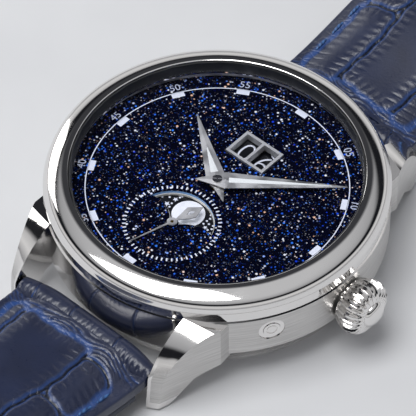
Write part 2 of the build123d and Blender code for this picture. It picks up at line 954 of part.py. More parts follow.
# Crown: fluted barrel with a domed end, hollow over the tube
with BuildPart() as crown:
    with BuildSketch(Plane.XZ):
        with BuildLine():
            Polyline(
                (crown_end + crown_cap_length, crown_height),
                (crown_end + crown_cap_rise, crown_height + crown_cap_radius / 2),
                (crown_end, crown_height + crown_cap_radius),
                (crown_end, crown_height + crown_seat_radius),
                (crown_front_start, crown_height + crown_front_radius),
                (crown_fall_start, crown_height + crown_radius),
                (crown_middle, crown_height + crown_radius),
                (crown_start, crown_height + crown_back_radius),
                (crown_start, crown_height),
                close=True,
            )
        make_face()
    revolve(axis=Axis((0, 0, crown_height), (1, 0, 0)))
    with BuildSketch(side_plane(crown_start)):
        with PolarLocations(crown_radius + crown_flute_radius - crown_flute_depth, crown_flutes):
            RegularPolygon(crown_flute_radius, crown_flute_sides)
    extrude(amount=crown_end - crown_start, mode=Mode.SUBTRACT)
    stem_bore(crown_start, crown_start + crown_recess_depth, crown_recess_radius)
    stem_bore(crown_start, crown_thread_end, stem_radius + seat_gap)
save(crown, "crown")

# Corrector: sleeve in the case side and its sprung button
with BuildPart() as corrector_sleeve:
    corrector_rod(corrector_sleeve_start, corrector_sleeve_end, corrector_sleeve_radius)
    corrector_rod(
        corrector_sleeve_start + corrector_sleeve_floor, corrector_sleeve_end,
        corrector_button_radius + running_gap, Mode.SUBTRACT,
    )
    corrector_rod(
        corrector_sleeve_start, corrector_sleeve_end, corrector_stem_radius + running_gap, Mode.SUBTRACT
    )
save(corrector_sleeve, "corrector_sleeve")

with BuildPart() as corrector_button:
    corrector_rod(corrector_head_start, corrector_head_end, corrector_button_radius)
    corrector_rod(corrector_stem_start, corrector_head_start, corrector_stem_radius)
    x, y = polar(corrector_head_end - corrector_groove_depth, corrector_turn)
    with BuildSketch(Plane(origin=(x, y, corrector_height), z_dir=corrector_axis)):
        Circle(corrector_groove_radius + corrector_groove_width / 2)
        Circle(corrector_groove_radius - corrector_groove_width / 2, mode=Mode.SUBTRACT)
    extrude(amount=corrector_groove_depth, mode=Mode.SUBTRACT)
save(corrector_button, "corrector_button")

# Movement ring between the case wall and the movement
with BuildPart() as movement_ring:
    sided_ring(ring_inner_radius, ring_outer_radius, ring_low, ring_high)
    stem_bore(ring_inner_radius - overrun, ring_outer_radius + overrun, tube_inner_radius)
    corrector_rod(
        ring_inner_radius - overrun, ring_outer_radius + overrun,
        corrector_stem_radius + hinge_gap, Mode.SUBTRACT,
    )
save(movement_ring, "movement_ring")

# Hands: each lies along its own angle, with its length measured from its arbor
hour_hand_low = dial_top + seconds_hand_lift + seconds_hand_thickness + hour_hand_lift
hour_hand_high = hour_hand_low + hand_thickness
minute_hand_low = hour_hand_high + minute_hand_lift
minute_hand_high = minute_hand_low + hand_thickness
cap_top = minute_hand_high + cap_height
seconds_hand_low = dial_top + seconds_hand_lift
seconds_hand_high = seconds_hand_low + seconds_hand_thickness


def hand_plane(level, angle, middle=centre):
    """A plane at a level whose X axis lies along a clock angle."""
    x_dir = (math.sin(math.radians(angle)), math.cos(math.radians(angle)), 0)
    return Plane(origin=(middle[0], middle[1], level), x_dir=x_dir, z_dir=(0, 0, 1))


def faceted_hand(low, angle, length, tail, half_width, shoulder, lume):
    """A kite-shaped hand rising to a point over its widest place, with a shallow bed for its lume."""
    corners = [
        (-tail, -hand_tip_half_width), (shoulder, -half_width), (length, -hand_tip_half_width),
        (length, hand_tip_half_width), (shoulder, half_width), (-tail, hand_tip_half_width),
    ]
    with BuildSketch(hand_plane(low, angle)) as outline:
        with BuildLine():
            Polyline(*corners, close=True)
        make_face()
    extrude(outline.sketch, amount=hand_edge)
    upper = outline.sketch.faces()[0].moved(Location((0, 0, hand_edge)))
    peak = hand_plane(low + hand_thickness, angle).from_local_coords(Vector(shoulder, 0, 0))
    loft([upper, Vertex(*peak)])
    start, lume_half_width, end = lume
    bed = low + hand_edge
    with BuildSketch(hand_plane(bed, angle)) as recess:
        with BuildLine():
            Polyline(
                (start, -lume_half_width), (end, -hand_tip_half_width),
                (end, hand_tip_half_width), (start, lume_half_width), close=True,
            )
        make_face()
    extrude(recess.sketch, amount=hand_thickness, mode=Mode.SUBTRACT)


with BuildPart() as minute_hand:
    faceted_hand(
        minute_hand_low, minute_hand_angle, minute_hand_length, minute_hand_tail,
        minute_hand_half_width, minute_hand_shoulder,
        (minute_lume_start, minute_lume_half_width, minute_lume_end),
    )
    rod(centre, minute_hand_low, minute_hand_high, cap_radius)
    socket(centre, minute_hand_low - overrun, minute_hand_high, cannon_radius + seat_gap)
save(minute_hand, "minute_hand")

with BuildPart() as hour_hand:
    faceted_hand(
        hour_hand_low, hour_hand_angle, hour_hand_length, hour_hand_tail,
        hour_hand_half_width, hour_hand_shoulder,
        (hour_lume_start, hour_lume_half_width, hour_lume_end),
    )
    rod(centre, hour_hand_low, hour_hand_high, hour_pipe_radius + hand_thickness)
    socket(centre, hour_hand_low - overrun, hour_hand_high + overrun, hour_pipe_radius + seat_gap)
save(hour_hand, "hour_hand")

with BuildPart() as hand_cap:
    rod(centre, minute_hand_high, cap_top, cap_radius)
    with BuildSketch(hand_plane(cap_top - cap_slot_depth, minute_hand_angle)):
        Rectangle(2 * cap_radius + overrun, cap_slot_width)
        Rectangle(cap_slot_width, 2 * cap_radius + overrun)
    extrude(amount=cap_slot_depth, mode=Mode.SUBTRACT)
save(hand_cap, "hand_cap")

# Small seconds hand with a pierced diamond for its tail
with BuildPart() as seconds_hand:
    with BuildSketch(hand_plane(seconds_hand_low, seconds_hand_angle, small_dial)):
        with BuildLine():
            Polyline(
                (seconds_hand_length, -hand_tip_half_width), (seconds_hand_length, hand_tip_half_width),
                (0, seconds_hand_half_width), (-seconds_hub_radius, seconds_hand_half_width),
                (-seconds_diamond_middle, seconds_diamond_half_width),
                (-seconds_diamond_reach, 0),
                (-seconds_diamond_middle, -seconds_diamond_half_width),
                (-seconds_hub_radius, -seconds_hand_half_width), (0, -seconds_hand_half_width),
                close=True,
            )
        make_face()
        Circle(seconds_hub_radius)
        with BuildLine():
            hole_middle = (seconds_hole_start + seconds_hole_end) / 2
            Polyline(
                (-seconds_hole_start, 0), (-hole_middle, seconds_hole_half_width),
                (-seconds_hole_end, 0), (-hole_middle, -seconds_hole_half_width), close=True,
            )
        make_face(mode=Mode.SUBTRACT)
        RegularPolygon(fourth_arbor_radius + seat_gap, slim_sides, major_radius=False, mode=Mode.SUBTRACT)
    extrude(amount=seconds_hand_thickness)
save(seconds_hand, "seconds_hand")

# Motion works under the dial
cannon_low = plate_high + motion_lift
minute_wheel_high = cannon_low + wheel_thickness + motion_step
hour_wheel_low = minute_wheel_high + motion_step
hour_wheel_high = hour_wheel_low + wheel_thickness
with BuildPart() as cannon_pinion:
    pinion(cannon_teeth, motion_module, minute_wheel_angle, centre, cannon_low, minute_wheel_high)
    post(centre, cannon_low, minute_hand_high, cannon_radius)
    socket(centre, cannon_low - overrun, minute_hand_low, arbor_radius + running_gap)
save(cannon_pinion, "cannon_pinion")

with BuildPart() as minute_wheel:
    wheel(
        minute_wheel_teeth, motion_module, minute_wheel_angle + 180 + 180 / minute_wheel_teeth,
        minute_wheel_at, cannon_low, 4,
    )
    pinion(
        minute_pinion_teeth, motion_module, minute_wheel_angle + 180, minute_wheel_at,
        cannon_low + wheel_thickness, hour_wheel_high + motion_step,
    )
    socket(minute_wheel_at, cannon_low - overrun, hour_wheel_high + overrun, arbor_radius + running_gap)
save(minute_wheel, "minute_wheel")

with BuildPart() as hour_wheel:
    with BuildSketch(Plane.XY.offset(hour_wheel_low)):
        wheel_teeth(hour_wheel_teeth, motion_module, minute_wheel_angle + 180 / hour_wheel_teeth, centre)
    extrude(amount=wheel_thickness)
    post(centre, hour_wheel_low, hour_hand_high, hour_pipe_radius)
    socket(centre, hour_wheel_low - overrun, hour_hand_high + overrun, cannon_radius + running_gap)
save(hour_wheel, "hour_wheel")

# Going train between the bridges and the main plate
centre_wheel_low = bridge_top + centre_wheel_lift
barrel_low = bridge_top + barrel_lift
barrel_high = barrel_low + barrel_drum_height
fourth_wheel_low = bridge_top + fourth_wheel_lift
third_wheel_low = bridge_top + third_wheel_lift
escape_wheel_low = bridge_top + escape_wheel_lift
pivot_length = jewel_thickness - hinge_gap
to_third = bearing(centre, third_at)
to_fourth = bearing(third_at, small_dial)
to_barrel = bearing(barrel_at, centre)
to_reversing = bearing(centre, reversing_at)
to_ratchet = bearing(reversing_at, barrel_at)


def arbor(middle):
    """An arbor across the train's space with a thinner pivot at each end."""
    post(middle, bridge_top + hinge_gap, plate_low - hinge_gap, arbor_radius)
    post(middle, bridge_top - pivot_length, plate_low + pivot_length, pivot_radius)


with BuildPart() as centre_wheel:
    wheel(centre_teeth, train_module, to_third, centre, centre_wheel_low, 5)
    pinion(
        centre_pinion_teeth, barrel_module, to_barrel + 180 + 180 / centre_pinion_teeth, centre,
        barrel_low, barrel_low + centre_pinion_height,
    )
    post(centre, bridge_top - pivot_length, bridge_top + hinge_gap, pivot_radius)
    post(centre, bridge_top + hinge_gap, hour_wheel_high, arbor_radius)
save(centre_wheel, "centre_wheel")

with BuildPart() as third_wheel:
    wheel(third_teeth, train_module, to_fourth, third_at, third_wheel_low, 5)
    pinion(
        third_pinion_teeth, train_module, to_third + 180 + 180 / third_pinion_teeth, third_at,
        centre_wheel_low - motion_step, centre_wheel_low - motion_step + pinion_height,
    )
    arbor(third_at)
save(third_wheel, "third_wheel")

with BuildPart() as fourth_wheel:
    wheel(fourth_teeth, train_module, escape_angle, small_dial, fourth_wheel_low, 5)
    pinion(
        fourth_pinion_teeth, train_module, to_fourth + 180 + 180 / fourth_pinion_teeth, small_dial,
        third_wheel_low - motion_step, plate_low - hinge_gap,
    )
    post(small_dial, bridge_top - pivot_length, bridge_top + hinge_gap, pivot_radius)
    post(small_dial, bridge_top + hinge_gap, seconds_hand_high, fourth_arbor_radius)
save(fourth_wheel, "fourth_wheel")

with BuildPart() as barrel:
    rod(barrel_at, barrel_low, barrel_high, barrel_drum_radius)
    with BuildSketch(Plane.XY.offset(barrel_low + wheel_thickness)):
        wheel_teeth(barrel_teeth, barrel_module, to_barrel, barrel_at)
    extrude(amount=wheel_thickness)
    socket(barrel_at, barrel_low - overrun, barrel_high + overrun, barrel_arbor_radius + running_gap, head_sides)
save(barrel, "barrel")

# Escape wheel with leaning teeth
with BuildPart() as escape_wheel:
    with BuildSketch(Plane.XY.offset(escape_wheel_low)):
        tooth_step = 360 / escape_teeth
        with BuildLine():
            corners = []
            for index in range(escape_teeth):
                turn = pallet_bearing + index * tooth_step
                corners.append(polar(escape_root_radius, turn - tooth_step / 2, escape_at))
                corners.append(polar(escape_radius, turn, escape_at))
                corners.append(polar(escape_radius, turn + tooth_step / 8, escape_at))
                corners.append(polar(escape_root_radius, turn - tooth_step / 8, escape_at))
            Polyline(*corners, close=True)
        make_face()
        windows(
            escape_at, escape_hub_radius, escape_root_radius - escape_rim_width, escape_spokes, wheel_spoke_width
        )
    extrude(amount=wheel_thickness)
    pinion(
        escape_pinion_teeth, train_module, escape_angle + 180 + 180 / escape_pinion_teeth, escape_at,
        fourth_wheel_low - motion_step, fourth_wheel_low - motion_step + pinion_height,
    )
    arbor(escape_at)
save(escape_wheel, "escape_wheel")

# Pallet fork: lever, two arms with a stone at each end, and a short arbor
pallet_low = bridge_top + pallet_lift
pallet_bridge_low = bridge_top + pallet_bridge_lift
pallet_bridge_high = pallet_bridge_low + pallet_bridge_thickness
with BuildPart() as pallet_fork:
    with BuildSketch(Plane.XY.offset(pallet_low)):
        lever_end = polar(pallet_lever_length, pallet_bearing, pallet_at)
        lever_sides = (pallet_bearing - 90, pallet_bearing + 90)
        with BuildLine():
            Polyline(
                polar(pallet_lever_width / 2, lever_sides[0], pallet_at),
                polar(pallet_lever_width / 2, lever_sides[0], lever_end),
                polar(pallet_lever_width / 2, lever_sides[1], lever_end),
                polar(pallet_lever_width / 2, lever_sides[1], pallet_at),
                close=True,
            )
        make_face()
        for side in (-1, 1):
            stone = polar(
                escape_radius + pallet_stone_clearance, pallet_bearing + side * pallet_stone_spread, escape_at
            )
            arm = bearing(pallet_at, stone)
            with BuildLine():
                Polyline(
                    polar(pallet_arm_width / 2, arm - 90, pallet_at),
                    polar(pallet_arm_width / 2, arm - 90, stone),
                    polar(pallet_arm_width / 2, arm + 90, stone),
                    polar(pallet_arm_width / 2, arm + 90, pallet_at),
                    close=True,
                )
            make_face()
        with Locations(pallet_at):
            Circle(pallet_hub_radius)
        with Locations(escape_at):
            Circle(escape_radius + pallet_stone_clearance, mode=Mode.SUBTRACT)
    extrude(amount=pallet_thickness)
    post(pallet_at, pallet_bridge_high + hinge_gap, plate_low - hinge_gap, arbor_radius)
    post(pallet_at, pallet_bridge_low + hinge_gap, plate_low + pivot_length, pivot_radius)
save(pallet_fork, "pallet_fork")

# Balance wheel with its staff, roller and impulse pin
balance_low = bridge_top + balance_lift
roller_low = bridge_top + roller_lift
to_pallet = bearing(balance_at, pallet_at)
with BuildPart() as balance_wheel:
    with BuildSketch(Plane.XY.offset(balance_low)):
        with Locations(balance_at):
            Circle(balance_radius)
        windows(
            balance_at, wheel_hub_radius, balance_radius - balance_rim_width, 3, balance_spoke_width
        )
    extrude(amount=balance_rim_height)
    post(balance_at, roller_low, roller_low + roller_thickness, roller_radius, head_sides)
    post(
        polar(impulse_pin_reach, to_pallet, balance_at), roller_low + roller_thickness,
        roller_low + roller_thickness + impulse_pin_length, impulse_pin_radius,
    )
    post(balance_at, bridge_top + hairspring_lift, plate_low - hinge_gap, arbor_radius)
    post(balance_at, bridge_top - pivot_length, plate_low + pivot_length, pivot_radius)
save(balance_wheel, "balance_wheel")

# Hairspring: half-turn arcs whose radius grows by half of the pitch each time
spring_level = bridge_top + hairspring_lift + hairspring_height / 2
with BuildPart() as hairspring:
    with BuildLine() as coil:
        start_x = balance_x + hairspring_inner_radius
        side = 1
        for index in range(hairspring_half_turns):
            radius = hairspring_inner_radius + index * hairspring_pitch / 2
            end_x = start_x - side * 2 * radius
            middle_x = (start_x + end_x) / 2
            ThreePointArc(
                (start_x, balance_y, spring_level),
                (middle_x, balance_y + side * radius, spring_level),
                (end_x, balance_y, spring_level),
            )
            start_x = end_x
            side = -side
    with BuildSketch(Plane(origin=coil.line @ 0, x_dir=(1, 0, 0), z_dir=(0, 1, 0))):
        Rectangle(hairspring_wire, hairspring_height)
    sweep(path=coil.line)
save(hairspring, "hairspring")


def least_spring_gap():
    """The least gap between neighbouring coils, measured on points along the spring's centre line."""
    count = hairspring_half_turns * hairspring_half_turn_points
    path = coil.wires()[0]
    points = [path @ (index / count) for index in range(count + 1)]
    skipped = math.ceil(math.pi * hairspring_inner_radius * count / path.length)
    gap = math.inf
    for first in range(count):
        for second in range(first + skipped, count + 1):
            gap = min(gap, (points[first] - points[second]).length)
    return gap - hairspring_wire


print("hairspring turns", hairspring_half_turns / 2, "least gap", round(least_spring_gap(), 3))

# Bridges with feet standing on the main plate, each foot with its screw
barrel_feet = [polar(pillar_circle_radius, angle) for angle in (22, 62, 166)]
train_feet = [polar(pillar_circle_radius, angle) for angle in (202, 232, 262)]
cock_foot = polar(cock_foot_reach, cock_angle)
pallet_foot = polar(pallet_bridge_span, pallet_bearing - 90, pallet_at)
screw_deep = plate_low + screw_grip


def screw_hole(middle, low):
    """A counterbored screw hole from the back."""
    socket(middle, low - overrun, low + screw_head_height + seat_gap, screw_head_radius + seat_gap, head_sides)
    socket(middle, low, plate_low + overrun, screw_shank_radius + seat_gap)


def jewel_seat(middle, low):
    """A seat for a jewel."""
    socket(middle, low, low + jewel_thickness, jewel_radius + seat_gap, head_sides)


def bridge_blank():
    """A round blank at the bridges' level, clear of the balance."""
    post(centre, bridge_height, bridge_top, bridge_radius, ring_sides)
    bore(balance_at, bridge_height - overrun, bridge_top + overrun, balance_radius + bridge_gap)


with BuildPart() as barrel_bridge:
    bridge_blank()
    with BuildSketch(Plane.XY.offset(bridge_height)):
        with Locations((0, bridge_radius / 2 - bridge_split)):
            Rectangle(2 * bridge_radius, bridge_radius)
        with Locations((0, bridge_radius)):
            Rectangle(2 * bridge_radius, bridge_radius)
    extrude(amount=bridge_thickness, mode=Mode.INTERSECT)
    for foot in barrel_feet:
        post(foot, bridge_top, plate_low, pillar_radius, head_sides)
        screw_hole(foot, bridge_height)
    socket(centre, bridge_top - pivot_length - hinge_gap, bridge_top + overrun, pivot_radius + running_gap)
    socket(
        barrel_at, bridge_height - overrun, bridge_top + overrun,
        barrel_arbor_radius + running_gap, head_sides,
    )
    post_low = bridge_height - rotor_plate_drop - rotor_plate_thickness - hinge_gap
    post(centre, post_low, bridge_height, rotor_post_radius, head_sides)
    rod(centre, post_low - rotor_head_height, post_low, rotor_head_radius)
    post(reversing_at, bridge_height - winding_drop - winding_thickness, bridge_height, click_post_radius)
    click_at = polar(click_distance, click_angle, barrel_at)
    post(click_at, bridge_height - winding_drop - winding_thickness, bridge_height, click_post_radius)
save(barrel_bridge, "barrel_bridge")

with BuildPart() as train_bridge:
    bridge_blank()
    with BuildSketch(Plane.XY.offset(bridge_height)):
        with Locations((
            (bridge_keyless_side - bridge_radius) / 2,
            -bridge_split - bridge_gap - bridge_radius / 2,
        )):
            Rectangle(bridge_radius + bridge_keyless_side, bridge_radius)
    extrude(amount=bridge_thickness, mode=Mode.INTERSECT)
    for foot in train_feet:
        post(foot, bridge_top, plate_low, pillar_radius, head_sides)
        screw_hole(foot, bridge_height)
    for middle in (third_at, small_dial, escape_at):
        jewel_seat(middle, bridge_top - jewel_thickness)
save(train_bridge, "train_bridge")

with BuildPart() as balance_cock:
    cock_turn = bearing(balance_at, cock_foot)
    cock_span = math.dist(balance_at, cock_foot)
    cock_high = bridge_top - hinge_gap
    cock_low = cock_high - cock_thickness
    cock_plane = Plane(
        origin=(balance_x, balance_y, cock_low),
        x_dir=(math.cos(math.radians(cock_turn)), math.sin(math.radians(cock_turn)), 0),
        z_dir=(0, 0, 1),
    )
    with BuildSketch(cock_plane):
        Circle(cock_eye_radius)
        with Locations((cock_span / 2, 0)):
            Rectangle(cock_span, cock_width)
        with Locations((cock_span, 0)):
            Circle(cock_width / 2)
    extrude(amount=cock_thickness)
    post(cock_foot, cock_high, plate_low, pillar_radius, head_sides)
    screw_hole(cock_foot, cock_low)
    jewel_seat(balance_at, cock_high - jewel_thickness)
save(balance_cock, "balance_cock")

with BuildPart() as pallet_bridge:
    pallet_turn = math.radians(bearing(pallet_at, pallet_foot))
    pallet_plane = Plane(
        origin=(pallet_at[0], pallet_at[1], pallet_bridge_low),
        x_dir=(math.cos(pallet_turn), math.sin(pallet_turn), 0),
        z_dir=(0, 0, 1),
    )
    with BuildSketch(pallet_plane):
        with Locations((pallet_bridge_span / 2, 0)):
            Rectangle(pallet_bridge_span + pallet_bridge_width, pallet_bridge_width)
        RegularPolygon(pivot_radius + running_gap, slim_sides, major_radius=False, mode=Mode.SUBTRACT)
    extrude(amount=pallet_bridge_thickness)
    post(pallet_foot, pallet_bridge_high, plate_low, pallet_bridge_width / 2)
save(pallet_bridge, "pallet_bridge")

# Main plate with the posts for the motion works and the calendar discs
with BuildPart() as main_plate:
    post(centre, plate_low, plate_high, plate_radius, ring_sides)
    with BuildSketch(Plane.XY.offset(bridge_top)):
        with Locations(((stem_block_start + stem_block_end) / 2, 0)):
            Rectangle(stem_block_end - stem_block_start, stem_block_width)
    extrude(amount=train_height)
    with BuildSketch(Plane.XY.offset(plate_low - pilot_block_height)):
        with Locations(((pilot_block_start + pilot_block_end) / 2, 0)):
            Rectangle(pilot_block_end - pilot_block_start, pilot_block_width)
    extrude(amount=pilot_block_height)
    with BuildSketch(Plane.XY.offset(plate_low)):
        with Locations(((keyless_slot_start + stem_block_start) / 2, 0)):
            Rectangle(stem_block_start - keyless_slot_start, keyless_slot_width)
    extrude(amount=keyless_slot_depth, mode=Mode.SUBTRACT)
    stem_bore(keyless_slot_start, plate_radius + overrun, stem_radius + running_gap)
    stem_bore(stem_pilot_start, keyless_slot_start, stem_pilot_radius + running_gap)
    post(minute_wheel_at, plate_high, hour_wheel_high + motion_step, arbor_radius)
    post(small_dial, plate_high, upper_disc_top + motion_step, fourth_arbor_radius + seconds_tube_wall)
    post(tens_at, plate_high, upper_disc_top + motion_step, disc_post_radius)
    post(units_at, plate_high, lower_disc_top + motion_step, disc_post_radius)
    socket(centre, plate_low - overrun, plate_high + overrun, arbor_radius + running_gap)
    socket(small_dial, plate_low - overrun, dial_top, fourth_arbor_radius + running_gap)
    socket(
        barrel_at, plate_low - overrun, plate_low + pivot_length + hinge_gap,
        barrel_arbor_radius + running_gap, head_sides,
    )
    for middle in (third_at, escape_at, pallet_at, balance_at):
        jewel_seat(middle, plate_low)
    for middle in (*barrel_feet, *train_feet, cock_foot):
        socket(middle, plate_low - overrun, screw_deep + seat_gap, screw_shank_radius + seat_gap)
save(main_plate, "main_plate")

# Jewels and screws, each kind in one node
with BuildPart() as jewels:
    plate_jewels = [(middle, plate_low) for middle in (third_at, escape_at, pallet_at, balance_at)]
    bridge_jewels = [(middle, bridge_top - jewel_thickness) for middle in (third_at, small_dial, escape_at)]
    cock_jewels = [(balance_at, cock_high - jewel_thickness)]
    for middle, level in plate_jewels + bridge_jewels + cock_jewels:
        post(middle, level, level + jewel_thickness, jewel_radius, head_sides)
        socket(middle, level - hinge_gap, level + jewel_thickness + hinge_gap, pivot_radius + running_gap)
save(jewels, "jewels")

with BuildPart() as bridge_screws:
    bridge_seats = [(foot, bridge_height) for foot in barrel_feet + train_feet] + [(cock_foot, cock_low)]
    for foot, level in bridge_seats:
        post(foot, level, level + screw_head_height, screw_head_radius, head_sides)
        post(foot, level + screw_head_height, screw_deep, screw_shank_radius)
        with BuildSketch(Plane.XY.offset(level)):
            with Locations(foot):
                Rectangle(2 * screw_head_radius + seat_gap, screw_slot_width)
        extrude(amount=screw_slot_depth, mode=Mode.SUBTRACT)
save(bridge_screws, "bridge_screws")

# Winding wheels and the rotor behind the bridges
winding_high = bridge_height - winding_drop
winding_low = winding_high - winding_thickness
with BuildPart() as barrel_arbor:
    post(barrel_at, winding_low, plate_low + pivot_length, barrel_arbor_radius, head_sides)
save(barrel_arbor, "barrel_arbor")

with BuildPart() as ratchet_wheel:
    with BuildSketch(Plane.XY.offset(winding_low)):
        wheel_teeth(ratchet_teeth, winding_module, to_ratchet + 180 + 180 / ratchet_teeth, barrel_at)
        with Locations(barrel_at):
            RegularPolygon(barrel_arbor_radius + seat_gap, head_sides, major_radius=False, mode=Mode.SUBTRACT)
    extrude(amount=winding_thickness)
save(ratchet_wheel, "ratchet_wheel")

with BuildPart() as reversing_wheel:
    with BuildSketch(Plane.XY.offset(winding_low)):
        wheel_teeth(reversing_teeth, winding_module, to_ratchet, reversing_at)
        with Locations(reversing_at):
            RegularPolygon(click_post_radius + running_gap, slim_sides, major_radius=False, mode=Mode.SUBTRACT)
    extrude(amount=winding_thickness)
save(reversing_wheel, "reversing_wheel")

with BuildPart() as click:
    click_turn = bearing(click_at, barrel_at) + click_lift_angle
    click_plane = Plane(
        origin=(click_at[0], click_at[1], winding_low),
        x_dir=(math.cos(math.radians(click_turn)), math.sin(math.radians(click_turn)), 0),
        z_dir=(0, 0, 1),
    )
    with BuildSketch(click_plane):
        RegularPolygon(click_hub_radius, head_sides)
        with BuildLine():
            Polyline(
                (0, -click_width / 2), (click_length, -click_width / 4),
                (click_length, 0), (0, click_width / 2), close=True,
            )
        make_face()
        RegularPolygon(click_post_radius + running_gap, slim_sides, major_radius=False, mode=Mode.SUBTRACT)
    extrude(amount=click_thickness)
save(click, "click")

rotor_plate_high = bridge_height - rotor_plate_drop
rotor_plate_low = rotor_plate_high - rotor_plate_thickness
rotor_rim_high = bridge_height - rotor_rim_drop
with BuildPart() as rotor:
    with BuildSketch(Plane.XY.offset(rotor_plate_low)):
        RegularPolygon(rotor_radius, ring_sides)
        with Locations((0, rotor_radius / 2)):
            Rectangle(2 * rotor_radius, rotor_radius, mode=Mode.SUBTRACT)
        Circle(rotor_hub_radius)
        for index in (-1, 0, 1):
            turn = 270 + index * rotor_window_pitch
            span = (turn - rotor_window_span / 2, turn + rotor_window_span / 2)
            sector_window(centre, rotor_window_inner, rotor_window_outer, span, span)
    extrude(amount=rotor_plate_thickness)
    with BuildSketch(Plane.XY.offset(rotor_rim_high - rotor_rim_height)):
        RegularPolygon(rotor_radius, ring_sides)
        RegularPolygon(rotor_radius - rotor_rim_width, ring_sides, mode=Mode.SUBTRACT)
        with Locations((0, rotor_radius / 2)):
            Rectangle(2 * rotor_radius, rotor_radius, mode=Mode.SUBTRACT)
    extrude(amount=rotor_rim_height)
    with BuildSketch(Plane.XY.offset(rotor_plate_high)):
        pinion_teeth(rotor_pinion_teeth, winding_module, to_reversing, centre)
    extrude(amount=winding_high - rotor_plate_high)
    socket(centre, rotor_plate_low - overrun, winding_high + overrun, rotor_post_radius + running_gap, head_sides)
save(rotor, "rotor")

# Calendar and moon discs under the dial
with BuildPart() as moon_disc:
    with BuildSketch(Plane.XY.offset(upper_disc_low)):
        pointed_teeth(moon_disc_teeth, moon_disc_radius, moon_disc_radius - disc_thickness, 0, small_dial)
        with Locations(small_dial):
            tube_radius = fourth_arbor_radius + seconds_tube_wall + running_gap
            RegularPolygon(tube_radius, slim_sides, major_radius=False, mode=Mode.SUBTRACT)
    extrude(amount=disc_thickness)
save(moon_disc, "moon_disc")


def date_disc(middle, radius, low, teeth):
    """A digit disc on a hub with its star wheel beneath."""
    rod(middle, low, low + disc_thickness, radius)
    post(middle, low - disc_hub_height, low, disc_hub_radius, head_sides)
    with BuildSketch(Plane.XY.offset(low - disc_hub_height)) as star:
        pointed_teeth(teeth, star_radius, star_root_radius, 0, middle)
    extrude(star.sketch, amount=star_thickness)
    socket(middle, low - disc_hub_height - overrun, low + overrun, disc_post_radius + running_gap)


with BuildPart() as date_tens_disc:
    date_disc(tens_at, tens_disc_radius, upper_disc_low, tens_star_teeth)
save(date_tens_disc, "date_tens_disc")

with BuildPart() as date_units_disc:
    date_disc(units_at, units_disc_radius, lower_disc_low, units_star_teeth)
save(date_units_disc, "date_units_disc")

# Spring bars between the lugs
bar_shoulder = strap_width / 2 - bar_end_clearance
for end, label in ((1, "spring_bar_12"), (-1, "spring_bar_6")):
    with BuildPart() as spring_bar:
        bar_tip = lug_inner + bar_tip_length
        with BuildSketch(Plane.YZ.offset(-bar_shoulder)):
            with Locations((end * bar_reach, bar_height)):
                RegularPolygon(bar_radius, head_sides)
        extrude(amount=2 * bar_shoulder)
        with BuildSketch(Plane.YZ.offset(-bar_tip)):
            with Locations((end * bar_reach, bar_height)):
                RegularPolygon(bar_tip_radius, slim_sides)
        extrude(amount=2 * bar_tip)
    save(spring_bar, label)


# Strap: each half rises from its bar in an arch and comes down to its end
def strap_point(length, end_height, along):
    """Height and slope of the strap's seam line at a distance from its bar."""
    if along <= strap_arch_reach:
        phase = math.pi * along / strap_arch_reach
        height = bar_height + strap_arch_rise * (1 - math.cos(phase)) / 2
        slope = strap_arch_rise * math.pi / strap_arch_reach * math.sin(phase) / 2
        return height, slope
    fall_length = length - strap_arch_reach
    fall = bar_height + strap_arch_rise - end_height
    phase = math.pi * (along - strap_arch_reach) / fall_length
    height = end_height + fall * (1 + math.cos(phase)) / 2
    slope = -fall * math.pi / fall_length * math.sin(phase) / 2
    return height, slope


def blend(start, end, share):
    """A value between two others."""
    return start + (end - start) * share


def strap_plane(side, length, end_height, along):
    """The plane across the strap at a distance from its bar, on the twelve (1) or six (-1) side."""
    height, slope = strap_point(length, end_height, along)
    normal = (0, side / math.hypot(1, slope), slope / math.hypot(1, slope))
    return Plane(origin=(0, side * (bar_reach + along), height), x_dir=(-side, 0, 0), z_dir=normal)


def leather_section(share):
    """The strap's padded outer leather, as a flat bed, upright sides and a top that slopes from its middle."""
    half = blend(strap_width, strap_end_width, share) / 2
    crown_rise = blend(strap_crown_rise, strap_end_crown_rise, share)
    edge_rise = blend(strap_edge_rise, strap_end_edge_rise, share)
    depth = blend(strap_core_depth, strap_end_core_depth, share)
    with BuildLine() as outline:
        Polyline(
            (-half, edge_rise), (-half, -depth), (half, -depth), (half, edge_rise),
            (half * strap_middle_share, crown_rise), (-half * strap_middle_share, crown_rise), close=True,
        )
    make_face(outline.edges())


def lining_section(share):
    """The strap's lining leather under the outer leather."""
    half = blend(strap_width, strap_end_width, share) / 2
    depth = blend(strap_core_depth, strap_end_core_depth, share) + strap_layer_gap
    thickness = blend(strap_lining_thickness, strap_end_lining_thickness, share)
    with BuildLine() as outline:
        Polyline((half, -depth), (-half, -depth), (-half, -depth - thickness), (half, -depth - thickness), close=True)
    make_face(outline.edges())


def strap_layer(side, length, end_height, sections, section):
    """One layer of a strap half, lofted through evenly spaced sections."""
    faces = []
    for index in range(sections + 1):
        along = length * index / sections
        with BuildSketch(strap_plane(side, length, end_height, along)) as profile:
            section(along / length)
        faces.append(profile.sketch.faces()[0])
    loft(faces, ruled=True)


def strap_roll(side):
    """The crowned roll of leather round the spring bar."""
    half = strap_width / 2
    edge = ((half, 0), (half, strap_roll_edge_radius), (half * strap_middle_share, strap_roll_radius))
    with BuildSketch(Plane.XY.offset(bar_height)) as profile:
        with BuildLine():
            right = [(x, side * (bar_reach + reach)) for x, reach in edge]
            left = [(-x, side * (bar_reach + reach)) for x, reach in reversed(edge)]
            Polyline(*right, *left, close=True)
        make_face()
    revolve(profile.sketch, axis=Axis((0, side * bar_reach, bar_height), (1, 0, 0)))


